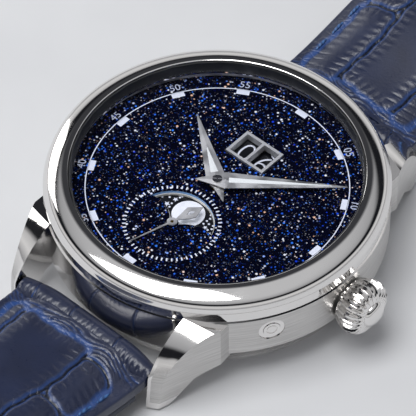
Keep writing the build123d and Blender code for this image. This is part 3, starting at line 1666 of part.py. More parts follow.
def clear_roll(side):
    """Trim a lining square where it meets the roll of leather."""
    with BuildSketch() as end:
        with Locations((0, side * (bar_reach + strap_lining_start - strap_width))):
            Rectangle(2 * strap_width, 2 * strap_width)
    extrude(end.sketch, amount=strap_width, both=True, mode=Mode.SUBTRACT)


def bar_bore(side, radius):
    """The hole for the spring bar through the roll."""
    with BuildSketch(Plane.YZ.offset(-strap_width)) as hole:
        with Locations((side * bar_reach, bar_height)):
            RegularPolygon(radius, head_sides, major_radius=False)
    extrude(hole.sketch, amount=2 * strap_width, mode=Mode.SUBTRACT)


short_end_height = short_strap_end_height + strap_end_core_depth + strap_end_lining_thickness
long_end_height = long_strap_end_height + strap_end_core_depth + strap_end_lining_thickness
buckle_y = bar_reach + short_strap_length
with BuildPart() as strap_12:
    strap_layer(1, short_strap_length, short_end_height, short_strap_sections, leather_section)
    strap_roll(1)
    bar_bore(1, bar_radius + strap_bore_gap)
    with BuildSketch(Plane.YZ.offset(-strap_end_width / 2)):
        with Locations((buckle_y, short_end_height)):
            RegularPolygon(buckle_roll_radius, stem_sides)
    extrude(amount=strap_end_width)
    with BuildSketch(Plane.YZ.offset(-strap_width)):
        with Locations((buckle_y, short_end_height)):
            RegularPolygon(buckle_bar_radius + seat_gap, head_sides, major_radius=False)
    extrude(amount=2 * strap_width, mode=Mode.SUBTRACT)
    with BuildSketch():
        with Locations((0, buckle_y + buckle_roll_radius - tongue_slot_length / 2)):
            Rectangle(tongue_slot_width, tongue_slot_length + seat_gap)
    extrude(amount=2 * short_end_height, mode=Mode.SUBTRACT)
save(strap_12, "strap_12")

# Linings start clear of the roll, and the short one stops before the buckle's roll
with BuildPart() as strap_12_lining:
    strap_layer(1, short_strap_length, short_end_height, short_strap_sections, lining_section)
    clear_roll(1)
    with BuildSketch():
        with Locations((0, buckle_y + strap_width - buckle_roll_radius - seat_gap)):
            Rectangle(2 * strap_width, 2 * strap_width)
    extrude(amount=strap_width, mode=Mode.SUBTRACT)
    with BuildSketch():
        with Locations((0, buckle_y + buckle_roll_radius - tongue_slot_length / 2)):
            Rectangle(tongue_slot_width, tongue_slot_length + seat_gap)
    extrude(amount=2 * short_end_height, mode=Mode.SUBTRACT)
save(strap_12_lining, "strap_12_lining")


def strap_tip():
    """Trim the long strap's end to a blunt point."""
    tip_y = -(bar_reach + long_strap_length)
    half = strap_end_width / 2
    for edge in (-1, 1):
        with BuildSketch() as corner:
            with BuildLine():
                Polyline(
                    (edge * strap_tip_half_width, tip_y - overrun),
                    (edge * strap_tip_half_width, tip_y),
                    (edge * half, tip_y + strap_tip_length),
                    (edge * (half + overrun), tip_y + strap_tip_length),
                    (edge * (half + overrun), tip_y - overrun),
                    close=True,
                )
            make_face()
        extrude(corner.sketch, amount=strap_width, both=True, mode=Mode.SUBTRACT)


def strap_holes():
    """Punch the row of buckle holes through a layer of the long strap."""
    for index in range(strap_hole_count):
        reach = bar_reach + long_strap_length - strap_hole_start - index * strap_hole_pitch
        with BuildSketch() as hole:
            with Locations((0, -reach)):
                RegularPolygon(strap_hole_radius, head_sides)
        extrude(hole.sketch, amount=strap_width, both=True, mode=Mode.SUBTRACT)


with BuildPart() as strap_6:
    strap_layer(-1, long_strap_length, long_end_height, long_strap_sections, leather_section)
    strap_roll(-1)
    bar_bore(-1, bar_radius + strap_bore_gap)
    strap_tip()
    strap_holes()
save(strap_6, "strap_6")

with BuildPart() as strap_6_lining:
    strap_layer(-1, long_strap_length, long_end_height, long_strap_sections, lining_section)
    clear_roll(-1)
    strap_tip()
    strap_holes()
save(strap_6_lining, "strap_6_lining")


# Keepers: leather loops round the short half, with room above it for the long one
def keeper(setback, label):
    """A square-cornered loop at a distance from the buckle's bar."""
    along = short_strap_length - setback
    share = along / short_strap_length
    half = blend(strap_width, strap_end_width, share) / 2 + keeper_gap
    low = blend(strap_core_depth, strap_end_core_depth, share)
    low += blend(strap_lining_thickness, strap_end_lining_thickness, share) + keeper_gap
    high = blend(strap_crown_rise, strap_end_crown_rise, share) + keeper_gap + keeper_room
    with BuildPart() as loop:
        with BuildSketch(strap_plane(1, short_strap_length, short_end_height, along)) as loop_section:
            with Locations((0, (high - low) / 2)):
                Rectangle(2 * (half + keeper_wall), high + low + 2 * keeper_wall)
                chamfer(loop_section.vertices(), keeper_wall / 2)
                Rectangle(2 * half, high + low, mode=Mode.SUBTRACT)
        extrude(amount=keeper_length / 2, both=True)
    save(loop, label)


keeper(fixed_keeper_setback, "fixed_keeper")
keeper(loose_keeper_setback, "loose_keeper")

# Buckle: bar through the strap's roll, frame and tongue
frame_inner = strap_end_width / 2 + buckle_side_gap
frame_outer = frame_inner + buckle_arm_width
with BuildPart() as buckle_bar:
    with BuildSketch(Plane.YZ.offset(-frame_outer)):
        with Locations((buckle_y, short_end_height)):
            RegularPolygon(buckle_bar_radius, head_sides)
    extrude(amount=2 * frame_outer)
save(buckle_bar, "buckle_bar")

with BuildPart() as buckle_frame:
    opening_end = buckle_y + buckle_reach - buckle_cross_width / 2
    frame_start = buckle_y - buckle_thickness
    frame_end = opening_end + buckle_cross_width
    with BuildSketch(Plane.XY.offset(short_end_height - buckle_thickness / 2)) as frame_section:
        with Locations((0, (frame_start + frame_end) / 2)):
            Rectangle(2 * frame_outer, frame_end - frame_start)
        chamfer(frame_section.vertices().group_by(Axis.Y)[-1], buckle_corner)
        with Locations((0, (frame_start + opening_end) / 2 - overrun)):
            Rectangle(2 * frame_inner, opening_end - frame_start + 2 * overrun, mode=Mode.SUBTRACT)
    extrude(amount=buckle_thickness)
    chamfer(buckle_frame.edges().filter_by(Plane.XY).group_by(Axis.Z)[-1], buckle_edge)
    with BuildSketch(Plane.YZ.offset(-frame_outer - overrun)):
        with Locations((buckle_y, short_end_height)):
            RegularPolygon(buckle_bar_radius + hinge_gap, head_sides, major_radius=False)
    extrude(amount=2 * frame_outer + 2 * overrun, mode=Mode.SUBTRACT)
save(buckle_frame, "buckle_frame")

tongue_hub_radius = buckle_thickness / 2 + tongue_lift + tongue_thickness
tongue_low = short_end_height + buckle_thickness / 2 + tongue_lift
with BuildPart() as buckle_tongue:
    with BuildSketch(Plane.YZ.offset(-tongue_width / 2)):
        tongue_length = buckle_reach + tongue_overhang
        with Locations((buckle_y + tongue_length / 2, tongue_low + tongue_thickness / 2)):
            Rectangle(tongue_length, tongue_thickness)
        with Locations((buckle_y, short_end_height)):
            RegularPolygon(tongue_hub_radius, stem_sides)
            RegularPolygon(buckle_bar_radius + hinge_gap, head_sides, major_radius=False, mode=Mode.SUBTRACT)
    extrude(amount=tongue_width)
save(buckle_tongue, "buckle_tongue")
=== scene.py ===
"""Dresses the moon phase watch: prints, moon, date, lume, alligator strap, finishes, studio and camera."""
import json
import math
from collections import namedtuple

import bpy
import numpy as np
from mathutils import Matrix, Vector


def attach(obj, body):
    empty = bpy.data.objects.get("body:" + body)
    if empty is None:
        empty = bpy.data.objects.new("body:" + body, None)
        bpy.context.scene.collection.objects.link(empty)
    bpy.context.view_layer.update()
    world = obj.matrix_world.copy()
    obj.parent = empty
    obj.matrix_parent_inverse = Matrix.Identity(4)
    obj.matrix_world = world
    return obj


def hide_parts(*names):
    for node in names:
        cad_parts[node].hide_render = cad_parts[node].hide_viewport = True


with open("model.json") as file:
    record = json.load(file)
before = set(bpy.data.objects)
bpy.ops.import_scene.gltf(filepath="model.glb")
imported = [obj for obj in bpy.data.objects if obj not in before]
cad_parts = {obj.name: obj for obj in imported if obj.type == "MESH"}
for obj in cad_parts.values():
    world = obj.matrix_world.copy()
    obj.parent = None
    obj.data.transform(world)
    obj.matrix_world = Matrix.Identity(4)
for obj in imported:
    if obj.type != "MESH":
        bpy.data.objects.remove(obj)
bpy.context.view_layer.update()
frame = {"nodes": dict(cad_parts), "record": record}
nodes = frame["nodes"]
bpy.ops.object.select_all(action="DESELECT")

MM = 0.001

# Levels and places on the dial, as the solids have them, in millimetres
DIAL_TOP = 10.19
UPPER_DISC_TOP = 9.44
LOWER_DISC_TOP = 9.17
DIAL_MIDDLE = (0.0, 0.0)
SMALL_DIAL = (0.0, -7.7)
TENS_AT = (-4.15, 6.45)
UNITS_AT = (5.75, 6.45)
# Heights of a print and of a strip of lume
PRINT = 0.02
LUME_HEIGHT = 0.07
# Turns of the hands at rest, clockwise from twelve
MINUTE_HAND_TURN = 52.6
HOUR_HAND_TURN = 305.6
# Stars and round dots on the moon disc, by turn from three o'clock and reach, stars with their radius
STAR_PLACES = (
    (41, 3.75, 0.3), (29, 4.35, 0.22), (58, 4.5, 0.2), (142, 3.6, 0.42), (127, 4.2, 0.36), (152, 4.2, 0.24),
    (118, 4.75, 0.2),
)
DOT_PLACES = (
    (34, 3.3), (38, 4.5), (48, 4.2), (50, 3.6), (31, 3.85), (44, 4.65), (55, 4.05), (25, 4.7), (64, 4.75),
    (36, 4.05), (148, 3.2), (136, 4.55), (133, 3.6), (156, 4.6), (146, 4.75), (150, 3.75), (121, 4.55),
    (138, 3.1),
)

# Sides of the bezel and crown, and the crown's flutes and height
TURNED_SIDES = 192
CROWN_FLUTES = 24
CROWN_Z = 6.05

# Strap sizes, as the solids have them, in millimetres
BAR_Y = 22.1
BAR_Z = 4.1
ARCH_REACH = 21.5
ARCH_RISE = 3.1
# A half's side of the case, its length and the height of its far end
Half = namedtuple("Half", "side length end_z")
SHORT = Half(1, 70.0, 2.55)
LONG = Half(-1, 108.0, 1.3)
# Values at the bar and at the far end: half the width, and levels and depths from the seam line
HALF_WIDTHS = (10.0, 9.0)
PADDED_TOP = (1.85, 0.9)
BORDER_TOP = (0.6, 0.45)
SEAM_DEPTH = (0.75, 0.35)
LINING_TOP = (-0.8, -0.4)
LINING_THICKNESS = (1.1, 0.9)
# Sides of a layer that is as wide as its half
WHOLE_WIDTH = (-20.0, 20.0)
STITCH_PITCH = 2.9
# Buckle holes in the long half: number, pitch, distance of the first from the tip, and radius
HOLES = 7
HOLE_PITCH = 6.5
FIRST_HOLE = 17.0
HOLE_RADIUS = 0.9


# ---------------------------------------------------------------- materials
# Settings that many nodes share
COLOURS = {"data_type": "RGBA"}
TIMES = {"operation": "MULTIPLY"}
TIMES_PLUS = {"operation": "MULTIPLY_ADD"}
# Where a noise has most of its values
NOISE = {"From Min": 0.3, "From Max": 0.7}


def linear(text):
    """An sRGB hex colour as linear red, green, blue and alpha."""
    values = [int(text[i:i + 2], 16) / 255 for i in (1, 3, 5)]
    return [v / 12.92 if v <= 0.04045 else ((v + 0.055) / 1.055) ** 2.4 for v in values] + [1.0]


def plug(tree, node, sockets):
    """Give each named socket of a node its value, its hex colour or the output that feeds it."""
    for name, value in sockets.items():
        if isinstance(value, bpy.types.NodeSocket):
            tree.links.new(value, node.inputs[name])
        else:
            node.inputs[name].default_value = linear(value) if isinstance(value, str) else value


def add_node(tree, kind, sockets=None, settings=None, stops=()):
    """Add a shader node with its settings, sockets and colour stops, and give its outputs."""
    node = tree.nodes.new("ShaderNode" + kind)
    for name, value in (settings or {}).items():
        setattr(node, name, value)
    plug(tree, node, sockets or {})
    for place, _ in stops[2:]:
        node.color_ramp.elements.new(place)
    for element, (place, colour) in zip(node.color_ramp.elements if stops else (), stops):
        element.position = place
        element.color = linear(colour)
    return node.outputs


def set_shader(material, sockets):
    """Plug the sockets of a material's shader."""
    plug(material.node_tree, material.node_tree.nodes["Principled BSDF"], sockets)
    return material


def start_material(name, colour, metallic, roughness):
    """A new material: itself, its node tree and the object coordinates."""
    material = bpy.data.materials.new(name)
    material.use_nodes = True
    set_shader(material, {"Base Color": colour, "Metallic": metallic, "Roughness": roughness})
    return material, material.node_tree, add_node(material.node_tree, "TexCoord")["Object"]


def surfaced(material, share, tones, height, relief, rough=None):
    """Give a material two tones mixed by a share, a relief as deep as its height says, and its roughness."""
    tree = material.node_tree
    colour = add_node(tree, "Mix", {0: share, 6: tones[0], 7: tones[1]}, COLOURS)[2]
    bump = add_node(tree, "Bump", {"Height": height, "Distance": relief})["Normal"]
    set_shader(material, {"Base Color": colour, "Normal": bump})
    return set_shader(material, {} if rough is None else {"Roughness": rough})


def sideways_share(tree):
    """0 where a surface faces up or down, 1 where it faces sideways."""
    normal = add_node(tree, "NewGeometry")["Normal"]
    upward = add_node(tree, "SeparateXYZ", {"Vector": normal})["Z"]
    steep = add_node(tree, "Math", {0: upward}, {"operation": "ABSOLUTE"})[0]
    return add_node(tree, "MapRange", {"Value": steep, "From Min": 0.62, "From Max": 0.42})["Result"]


def polished_metal(name, colour, dull):
    """Buffed metal: a mirror with the slight cloudiness and hairlines that the wheel and wear leave."""
    material, tree, place = start_material(name, colour, 1.0, dull)
    cloud = add_node(tree, "TexNoise", {"Vector": place, "Scale": 420.0, "Detail": 3.0})["Fac"]
    spread = {"Value": cloud, **NOISE, "To Min": dull * 0.7, "To Max": dull * 1.6}
    rough = add_node(tree, "MapRange", spread)["Result"]
    # Hairlines are a few microns wide, drawn 0.15 mm apart so that they show
    along = add_node(tree, "Mapping", {"Vector": place, "Scale": (6500.0, 900.0, 900.0)})["Vector"]
    hairlines = add_node(tree, "TexNoise", {"Vector": along, "Scale": 1.0})["Fac"]
    bump = add_node(tree, "Bump", {"Height": hairlines, "Distance": 0.0000006})["Normal"]
    return set_shader(material, {"Roughness": rough, "Normal": bump})


def toned(name, metallic, rough, pale, deep, scale, relief):
    """A plain material whose tone and surface vary with one fine noise."""
    material, tree, place = start_material(name, pale, metallic, rough)
    grain = add_node(tree, "TexNoise", {"Vector": place, "Scale": scale, "Detail": 3.0})["Fac"]
    return surfaced(material, grain, (pale, deep), grain, relief)


def make_frame_steel():
    """Stainless steel date frame, its flat face lapped, which leaves a fine grey grain."""
    material, tree, place = start_material("lapped_steel", "#D5D4D2", 1.0, 0.55)
    # Lapping lines, about 0.03 mm apart and drawn at 0.1 mm
    along = add_node(tree, "Mapping", {"Vector": place, "Scale": (700.0, 10000.0, 700.0)})["Vector"]
    lines = add_node(tree, "TexNoise", {"Vector": along, "Scale": 1.0, "Detail": 2.0})["Fac"]
    return surfaced(material, lines, ("#E9E8E6", "#BDBCBA"), lines, 0.000004)


def make_brushed_steel():
    """Stainless steel case, brushed by a belt, so that its flanks look lined, and buffed elsewhere."""
    material, tree, place = start_material("brushed_steel", "#EAE8E6", 1.0, 0.25)
    axes = add_node(tree, "SeparateXYZ", {"Vector": place})
    across = add_node(tree, "Math", {0: axes["X"]}, {"operation": "ABSOLUTE"})[0]
    flank = sideways_share(tree)
    # The belt reaches heights from 1.2 to 9.68 mm, and not the faces between the lugs
    for value, side, limit in (
        (axes["Z"], "LESS_THAN", 0.00968),
        (axes["Z"], "GREATER_THAN", 0.0012),
        (across, "GREATER_THAN", 0.0106),
    ):
        reached = add_node(tree, "Math", {0: value, 1: limit}, {"operation": side})[0]
        flank = add_node(tree, "Math", {0: flank, 1: reached}, TIMES)[0]
    # Belt lines, about 0.05 mm apart and drawn at 0.11 mm
    along = add_node(tree, "Mapping", {"Vector": place, "Scale": (160.0, 160.0, 9000.0)})["Vector"]
    belt = {"Vector": along, "Scale": 1.0, "Detail": 3.0, "Roughness": 0.6}
    lines = add_node(tree, "TexNoise", belt)["Fac"]
    cut = add_node(tree, "Math", {0: flank, 1: lines}, TIMES)[0]
    even = add_node(tree, "Math", {0: flank, 1: 0.16, 2: 0.07}, TIMES_PLUS)[0]
    rough = add_node(tree, "Math", {0: cut, 1: 0.16, 2: even}, TIMES_PLUS)[0]
    return surfaced(material, cut, ("#EAE8E6", "#9C9B99"), cut, 0.000012, rough)


def make_rhodium_plate():
    """Rhodium-plated brass bridges with broad polished waves cut across them, seen through the back."""
    material, tree, place = start_material("rhodium_plate", "#CFCDC8", 1.0, 0.2)
    slanted = add_node(tree, "Mapping", {"Vector": place, "Rotation": (0.0, 0.0, 0.6)})["Vector"]
    # Waves 1.7 mm wide
    cut = {"Vector": slanted, "Scale": 187.0, "Distortion": 0.0, "Detail": 0.0}
    waves = add_node(tree, "TexWave", cut, {"wave_profile": "SAW", "bands_direction": "X"})["Fac"]
    along = add_node(tree, "Mapping", {"Vector": slanted, "Scale": (500.0, 9000.0, 9000.0)})["Vector"]
    grain = add_node(tree, "TexNoise", {"Vector": along, "Scale": 1.0})["Fac"]
    rough = add_node(tree, "MapRange", {"Value": grain, **NOISE, "To Min": 0.14, "To Max": 0.34})["Result"]
    height = add_node(tree, "Math", {0: grain, 1: 0.3, 2: waves}, TIMES_PLUS)[0]
    return surfaced(material, waves, ("#E4E2DD", "#A9A7A2"), height, 0.00002, rough)


def make_gilt_brass():
    """Gilt brass wheels, finely grained round and round by a lap, which leaves a soft warm sheen."""
    material, tree, place = start_material("gilt_brass", "#DDB768", 1.0, 0.24)
    grain = add_node(tree, "TexNoise", {"Vector": place, "Scale": 5200.0, "Detail": 2.0})["Fac"]
    tone = add_node(tree, "TexNoise", {"Vector": place, "Scale": 600.0, "Detail": 2.0})["Fac"]
    rough = add_node(tree, "MapRange", {"Value": grain, **NOISE, "To Min": 0.18, "To Max": 0.32})["Result"]
    return surfaced(material, tone, ("#E4C078", "#CBA050"), grain, 0.000003, rough)


def make_tungsten():
    """Tungsten alloy rotor, turned with fine rings and left grey."""
    material, tree, place = start_material("tungsten", "#9C9DA0", 1.0, 0.3)
    # Turning marks 0.15 mm apart, drawn at 0.3 mm
    marks = {"Vector": place, "Scale": 1050.0, "Distortion": 0.3}
    rings = add_node(tree, "TexWave", marks, {"wave_type": "RINGS", "rings_direction": "Z"})["Fac"]
    rough = add_node(tree, "MapRange", {"Value": rings, "To Min": 0.22, "To Max": 0.38})["Result"]
    return surfaced(material, rings, ("#A9AAAD", "#8E8F93"), rings, 0.00001, rough)


def make_ruby():
    """Synthetic ruby jewels, polished: deep red with a pale glint."""
    material = toned("synthetic_ruby", 0.0, 0.05, "#C71B4B", "#8C0B2C", 2500.0, 0.0000005)
    return set_shader(material, {"IOR": 1.76, "Coat Weight": 0.6})


def make_moon_silver():
    """The moon: silver leaf pressed on the disc, with soft grey seas and fine craters."""
    material, tree, place = start_material("silver_leaf", "#FFFFFF", 0.0, 0.35)
    leaf = {"Vector": place, "Scale": 900.0, "Detail": 4.0, "Roughness": 0.6}
    seas = add_node(tree, "TexNoise", leaf)["Fac"]
    spread = {"Value": seas, "From Min": 0.55, "From Max": 0.8, "To Max": 0.35}
    shaded = add_node(tree, "MapRange", spread)["Result"]
    pits = {"Vector": place, "Scale": 2100.0}
    craters = add_node(tree, "TexVoronoi", pits, {"feature": "SMOOTH_F1"})["Distance"]
    return surfaced(material, shaded, ("#FFFFFF", "#D5D8E0"), craters, 0.00003)


def make_crystal():
    """Sapphire crystal with an anti-reflective film: clear, with only a faint gloss that grows at the rim."""
    material, tree, place = start_material("sapphire_crystal", "#FFFFFF", 0.0, 0.0)
    tree.nodes.remove(tree.nodes["Principled BSDF"])
    film = add_node(tree, "TexNoise", {"Vector": place, "Scale": 900.0})["Fac"]
    smear = add_node(tree, "Math", {0: film, 1: 0.02}, TIMES)[0]
    gloss = add_node(tree, "BsdfGlossy", {"Color": "#F4F6FF", "Roughness": smear})[0]
    clear = add_node(tree, "BsdfTransparent", {"Color": "#FBFCFF"})[0]
    # Seen from inside, where light would be trapped, the film shows no gloss at all
    inside = add_node(tree, "NewGeometry")["Backfacing"]
    outside = add_node(tree, "Math", {0: 1.0, 1: inside}, {"operation": "SUBTRACT"})[0]
    bounce = add_node(tree, "Fresnel", {"IOR": 1.4})["Fac"]
    share = add_node(tree, "Math", {0: bounce, 1: outside}, TIMES)[0]
    faint = add_node(tree, "Math", {0: share, 1: 0.35}, TIMES)[0]
    both = add_node(tree, "MixShader", {0: faint, 1: clear, 2: gloss})[0]
    plug(tree, tree.nodes["Material Output"], {"Surface": both})
    return material


def make_aventurine():
    """Aventurine glass, sawn and polished: midnight blue, full of copper and silver flecks at all depths, a
    share of them painted bright as glints.
    """
    material, tree, place = start_material("aventurine_glass", "#070917", 0.0, 0.1)
    shades = add_node(tree, "TexNoise", {"Vector": place, "Scale": 260.0})["Fac"]
    colour = add_node(tree, "Mix", {0: shades, 6: "#02030C", 7: "#05061A"}, COLOURS)[2]
    glint_tints = ((0.0, "#1430D8"), (0.42, "#3E90FF"), (0.68, "#FFFFFF"), (0.88, "#FFFFFF"), (0.95, "#FFC9A4"))
    # Flecks 0.05 to 0.2 mm across, a share of each size painted bright as glints: cells a metre, fleck size,
    # share painted glinting and painted glint strength of each size
    for cells, size, share, strength in (
        (5200.0, 0.42, 0.5, 0.16), (3300.0, 0.4, 0.3, 0.8), (1900.0, 0.34, 0.3, 1.0)
    ):
        field = add_node(tree, "TexVoronoi", {"Vector": place, "Scale": cells})
        parts = add_node(tree, "SeparateColor", {"Color": field["Color"]})
        spot = {"Value": field["Distance"], "From Min": size, "From Max": size * 0.5}
        shape = add_node(tree, "MapRange", spot)["Result"]
        # Painted glint: a random share of the flecks is painted bright, as where they would catch the light
        glinting = {"Value": parts["Red"], "From Min": 1.0 - share, "From Max": 1.0 - share * 0.7}
        painted_glint = add_node(tree, "MapRange", {**glinting, "To Max": strength})["Result"]
        fleck = add_node(tree, "Math", {0: shape, 1: painted_glint}, TIMES)[0]
        tint = add_node(tree, "ValToRGB", {"Fac": parts["Green"]}, None, glint_tints)["Color"]
        colour = add_node(tree, "Mix", {0: fleck, 6: colour, 7: tint}, COLOURS)[2]
    # The sawn wall of each opening shows the glass from the side, as pale blue
    colour = add_node(tree, "Mix", {0: sideways_share(tree), 6: colour, 7: "#86AEDC"}, COLOURS)[2]
    return set_shader(material, {"Base Color": colour, "Specular IOR Level": 0.12})


def make_alligator():
    """Alligator leather, dyed navy and glazed by a stone: shiny scales, pores, a painted blue highlight on
    each rim, painted shade in each groove.
    """
    material, tree, place = start_material("glazed_alligator", "#141C35", 0.0, 0.34)
    groove = add_node(tree, "Attribute", None, {"attribute_name": "groove"})["Fac"]
    rim = add_node(tree, "Attribute", None, {"attribute_name": "rim"})["Fac"]
    dye = add_node(tree, "TexNoise", {"Vector": place, "Scale": 260.0, "Detail": 3.0})["Fac"]
    colour = add_node(tree, "Mix", {0: dye, 6: "#151B30", 7: "#252E4B"}, COLOURS)[2]
    # Painted highlight: each rim is painted a brighter blue, and painted shade darkens each groove
    for mark, most, tint in ((rim, 0.8, "#284A88"), (groove, 0.95, "#070B18")):
        spread = {"Value": mark, "From Min": 0.5, "From Max": 0.8, "To Max": most}
        share = add_node(tree, "MapRange", spread)["Result"]
        colour = add_node(tree, "Mix", {0: share, 6: colour, 7: tint}, COLOURS)[2]
    # Pores 0.15 mm apart, drawn at 0.25 mm, and wrinkles about 0.9 mm apart on the rims
    skin_pores = {"Vector": place, "Scale": 4000.0, "Detail": 3.0, "Roughness": 0.65}
    pores = add_node(tree, "TexNoise", skin_pores)["Fac"]
    cells = {"Vector": place, "Scale": 1100.0}
    creases = add_node(tree, "TexVoronoi", cells, {"feature": "DISTANCE_TO_EDGE"})["Distance"]
    crease = {"Value": creases, "From Max": 0.1, "To Min": -1.0, "To Max": 0.0}
    wrinkle = add_node(tree, "MapRange", crease)["Result"]
    near = add_node(tree, "Math", {0: wrinkle, 1: rim}, TIMES)[0]
    height = add_node(tree, "Math", {0: pores, 1: 0.5, 2: near}, TIMES_PLUS)[0]
    bump = add_node(tree, "Bump", {"Height": height, "Distance": 0.00004})["Normal"]
    glaze = add_node(tree, "MapRange", {"Value": pores, **NOISE, "To Min": 0.27, "To Max": 0.42})["Result"]
    set_shader(material, {"Base Color": colour, "Roughness": glaze, "Normal": bump})
    return set_shader(material, {"Coat Weight": 0.3, "Coat Roughness": 0.2})


def make_thread():
    """Waxed polyester thread, twisted in short slanted turns with painted shade between them, lighter than
    the leather.
    """
    material, tree, place = start_material("waxed_thread", "#4A76AE", 0.0, 0.5)
    turns = {"Vector": place, "Scale": 900.0}
    twist_and_shade = add_node(tree, "TexWave", turns, {"bands_direction": "DIAGONAL"})["Fac"]
    # Painted shade: the thread is painted darker between its turns
    return surfaced(material, twist_and_shade, ("#3F6BA3", "#1F3D6B"), twist_and_shade, 0.00003)


# Stainless steel, buffed bright, so it mirrors the studio in near-white and dark bands
POLISHED = polished_metal("polished_steel", "#EAE8E6", 0.06)
# Nickel-plated steel hands, blasted and lightly rubbed, which leaves a satin grey
HAND_STEEL = polished_metal("satin_nickel", "#D3D1CD", 0.41)
# The dial's inner ring, fine-turned and only half polished, so that it blurs what it mirrors
RING_STEEL = polished_metal("fine_turned_steel", "#F6F4F4", 0.6)
# Carbon steel of pinions and arbors, hardened and polished, a little darker and bluer than the case
HARDENED = polished_metal("hardened_steel", "#B4B8BE", 0.16)
# Black nitrile rubber, moulded, with a dull bloom
RUBBER = toned("gasket_rubber", 0.0, 0.62, "#131416", "#26282C", 3500.0, 0.00001)
# Silvered brass under the glass, bead-blasted, which shows as a cream edge in the openings
DIAL_METAL = toned("silvered_brass", 0.35, 0.4, "#F1ECDF", "#D8D2C2", 6000.0, 0.000004)
# Black lacquer on the moon and date discs, rubbed smooth
LACQUER = toned("black_lacquer", 0.0, 0.3, "#05060A", "#0C0E15", 1500.0, 0.000002)
# White ink laid on the glass by a pad, slightly uneven in weight
WHITE_INK = toned("white_pad_print", 0.0, 0.45, "#FAFBFF", "#E3E7F1", 3200.0, 0.000002)
# The same ink in a thin grey coat on the outer figures
GREY_INK = toned("grey_pad_print", 0.0, 0.5, "#DDE1EC", "#A9AFC1", 2600.0, 0.000002)
# Luminous paint, filled by needle: off-white, matt and a little grainy
LUME = toned("luminous_paint", 0.0, 0.6, "#F8F8F3", "#E4E6DE", 7000.0, 0.00001)
# Calf lining leather, drum dyed dark blue-grey, matt with fine pores
LINING = toned("calf_lining", 0.0, 0.6, "#252935", "#383D4C", 3300.0, 0.00003)
MOON_SILVER = make_moon_silver()
THREAD = make_thread()

# The record's slot of each CAD node's finish, and the material that stands for it
SLOT_MATERIALS = {
    "brushed_steel": make_brushed_steel(),
    "polished_steel": POLISHED,
    "hand_steel": HAND_STEEL,
    "sapphire": make_crystal(),
    "gasket_rubber": RUBBER,
    "dial_glass": make_aventurine(),
    "dial_metal": DIAL_METAL,
    "moon_black": LACQUER,
    "date_black": LACQUER,
    "rhodium_plate": make_rhodium_plate(),
    "gilt_brass": make_gilt_brass(),
    "hardened_steel": HARDENED,
    "tungsten": make_tungsten(),
    "ruby": make_ruby(),
    "navy_leather": make_alligator(),
    "lining_leather": LINING,
}
# Nodes that look different from the rest of their slot
OWN_MATERIALS = {"date_frame": make_frame_steel(), "hand_cap": POLISHED, "dial_ring": RING_STEEL}
for subpart in frame["record"]["subparts"]:
    name = subpart["node"]
    for holder in nodes[name].material_slots:
        holder.material = OWN_MATERIALS.get(name, SLOT_MATERIALS[subpart["material_slot"]])


# ---------------------------------------------------------------- modelling helpers
def pick(piece):
    """Select one piece alone and make it active."""
    bpy.ops.object.select_all(action="DESELECT")
    piece.select_set(True)
    bpy.context.view_layer.objects.active = piece


def edit(piece):
    """Open one piece alone for editing, with all of it selected."""
    pick(piece)
    bpy.ops.object.mode_set(mode="EDIT")
    bpy.ops.mesh.select_all(action="SELECT")


def leave():
    """Back to object mode."""
    bpy.ops.object.mode_set(mode="OBJECT")


def select(piece, test):
    """Select the vertices of an open piece whose place passes a test, in millimetres."""
    leave()
    for part in (piece.data.polygons, piece.data.edges):
        part.foreach_set("select", [False] * len(part))
    for vertex in piece.data.vertices:
        vertex.select = test(vertex.co / MM)
    bpy.ops.object.mode_set(mode="EDIT")
    bpy.ops.mesh.select_mode(type="VERT")


def close_up(gap):
    """Merge an open piece's doubled corners, cap its holes and turn its faces outward."""
    bpy.ops.mesh.select_all(action="SELECT")
    bpy.ops.mesh.remove_doubles(threshold=gap * MM)
    bpy.ops.mesh.fill_holes(sides=0)
    bpy.ops.mesh.select_all(action="SELECT")
    bpy.ops.mesh.normals_make_consistent(inside=False)


def added(primitive, **settings):
    """A new piece from a primitive's operator, with everything else deselected first."""
    bpy.ops.object.select_all(action="DESELECT")
    primitive(**settings)
    return bpy.context.object


def settle(piece):
    """Move a piece's turn, size and place into its mesh."""
    pick(piece)
    bpy.ops.object.transform_apply(location=True, rotation=True, scale=True)


def thicken(piece):
    """Raise a flat piece to the height of a print."""
    bpy.context.view_layer.objects.active = piece
    solid = piece.modifiers.new("thickness", "SOLIDIFY")
    solid.thickness = PRINT * MM
    solid.offset = 1.0
    bpy.ops.object.modifier_apply(modifier=solid.name)


def turned(profile, closed):
    """A shell turned from its profile: a circle extruded, widened and lifted from each corner to the next."""
    radius, level = profile[0]
    foot = (0.0, 0.0, level * MM)
    piece = added(bpy.ops.mesh.primitive_circle_add, vertices=TURNED_SIDES, radius=radius * MM, location=foot)
    settle(piece)
    edit(piece)
    for next_radius, next_level in [*profile[1:], *(profile[:1] if closed else ())]:
        bpy.ops.mesh.extrude_edges_move()
        bpy.ops.transform.translate(value=(0.0, 0.0, (next_level - level) * MM))
        grow = next_radius / radius
        bpy.ops.transform.resize(value=(grow, grow, 1.0), center_override=(0.0, 0.0, 0.0))
        radius, level = next_radius, next_level
    close_up(0.0005)
    leave()
    return piece


def copied(piece, matrix):
    """A copy of a piece with its own mesh, moved by a matrix."""
    twin = piece.copy()
    twin.data = piece.data.copy()
    bpy.context.scene.collection.objects.link(twin)
    twin.data.transform(matrix)
    return twin


def turned_about(middle, degrees):
    """The matrix of a clockwise turn about a place on the dial."""
    shift = Matrix.Translation((middle[0] * MM, middle[1] * MM, 0.0))
    return shift @ Matrix.Rotation(-math.radians(degrees), 4, "Z") @ shift.inverted()


def polar(middle, reach, degrees):
    """The place at a distance from a middle, anticlockwise from three o'clock."""
    angle = math.radians(degrees)
    return middle[0] + reach * math.cos(angle), middle[1] + reach * math.sin(angle)


def united(pieces, name):
    """Several pieces as one mesh."""
    whole, *others = pieces
    pick(whole)
    for piece in others:
        piece.select_set(True)
    if others:
        bpy.ops.object.join()
    whole.name = whole.data.name = name
    return whole


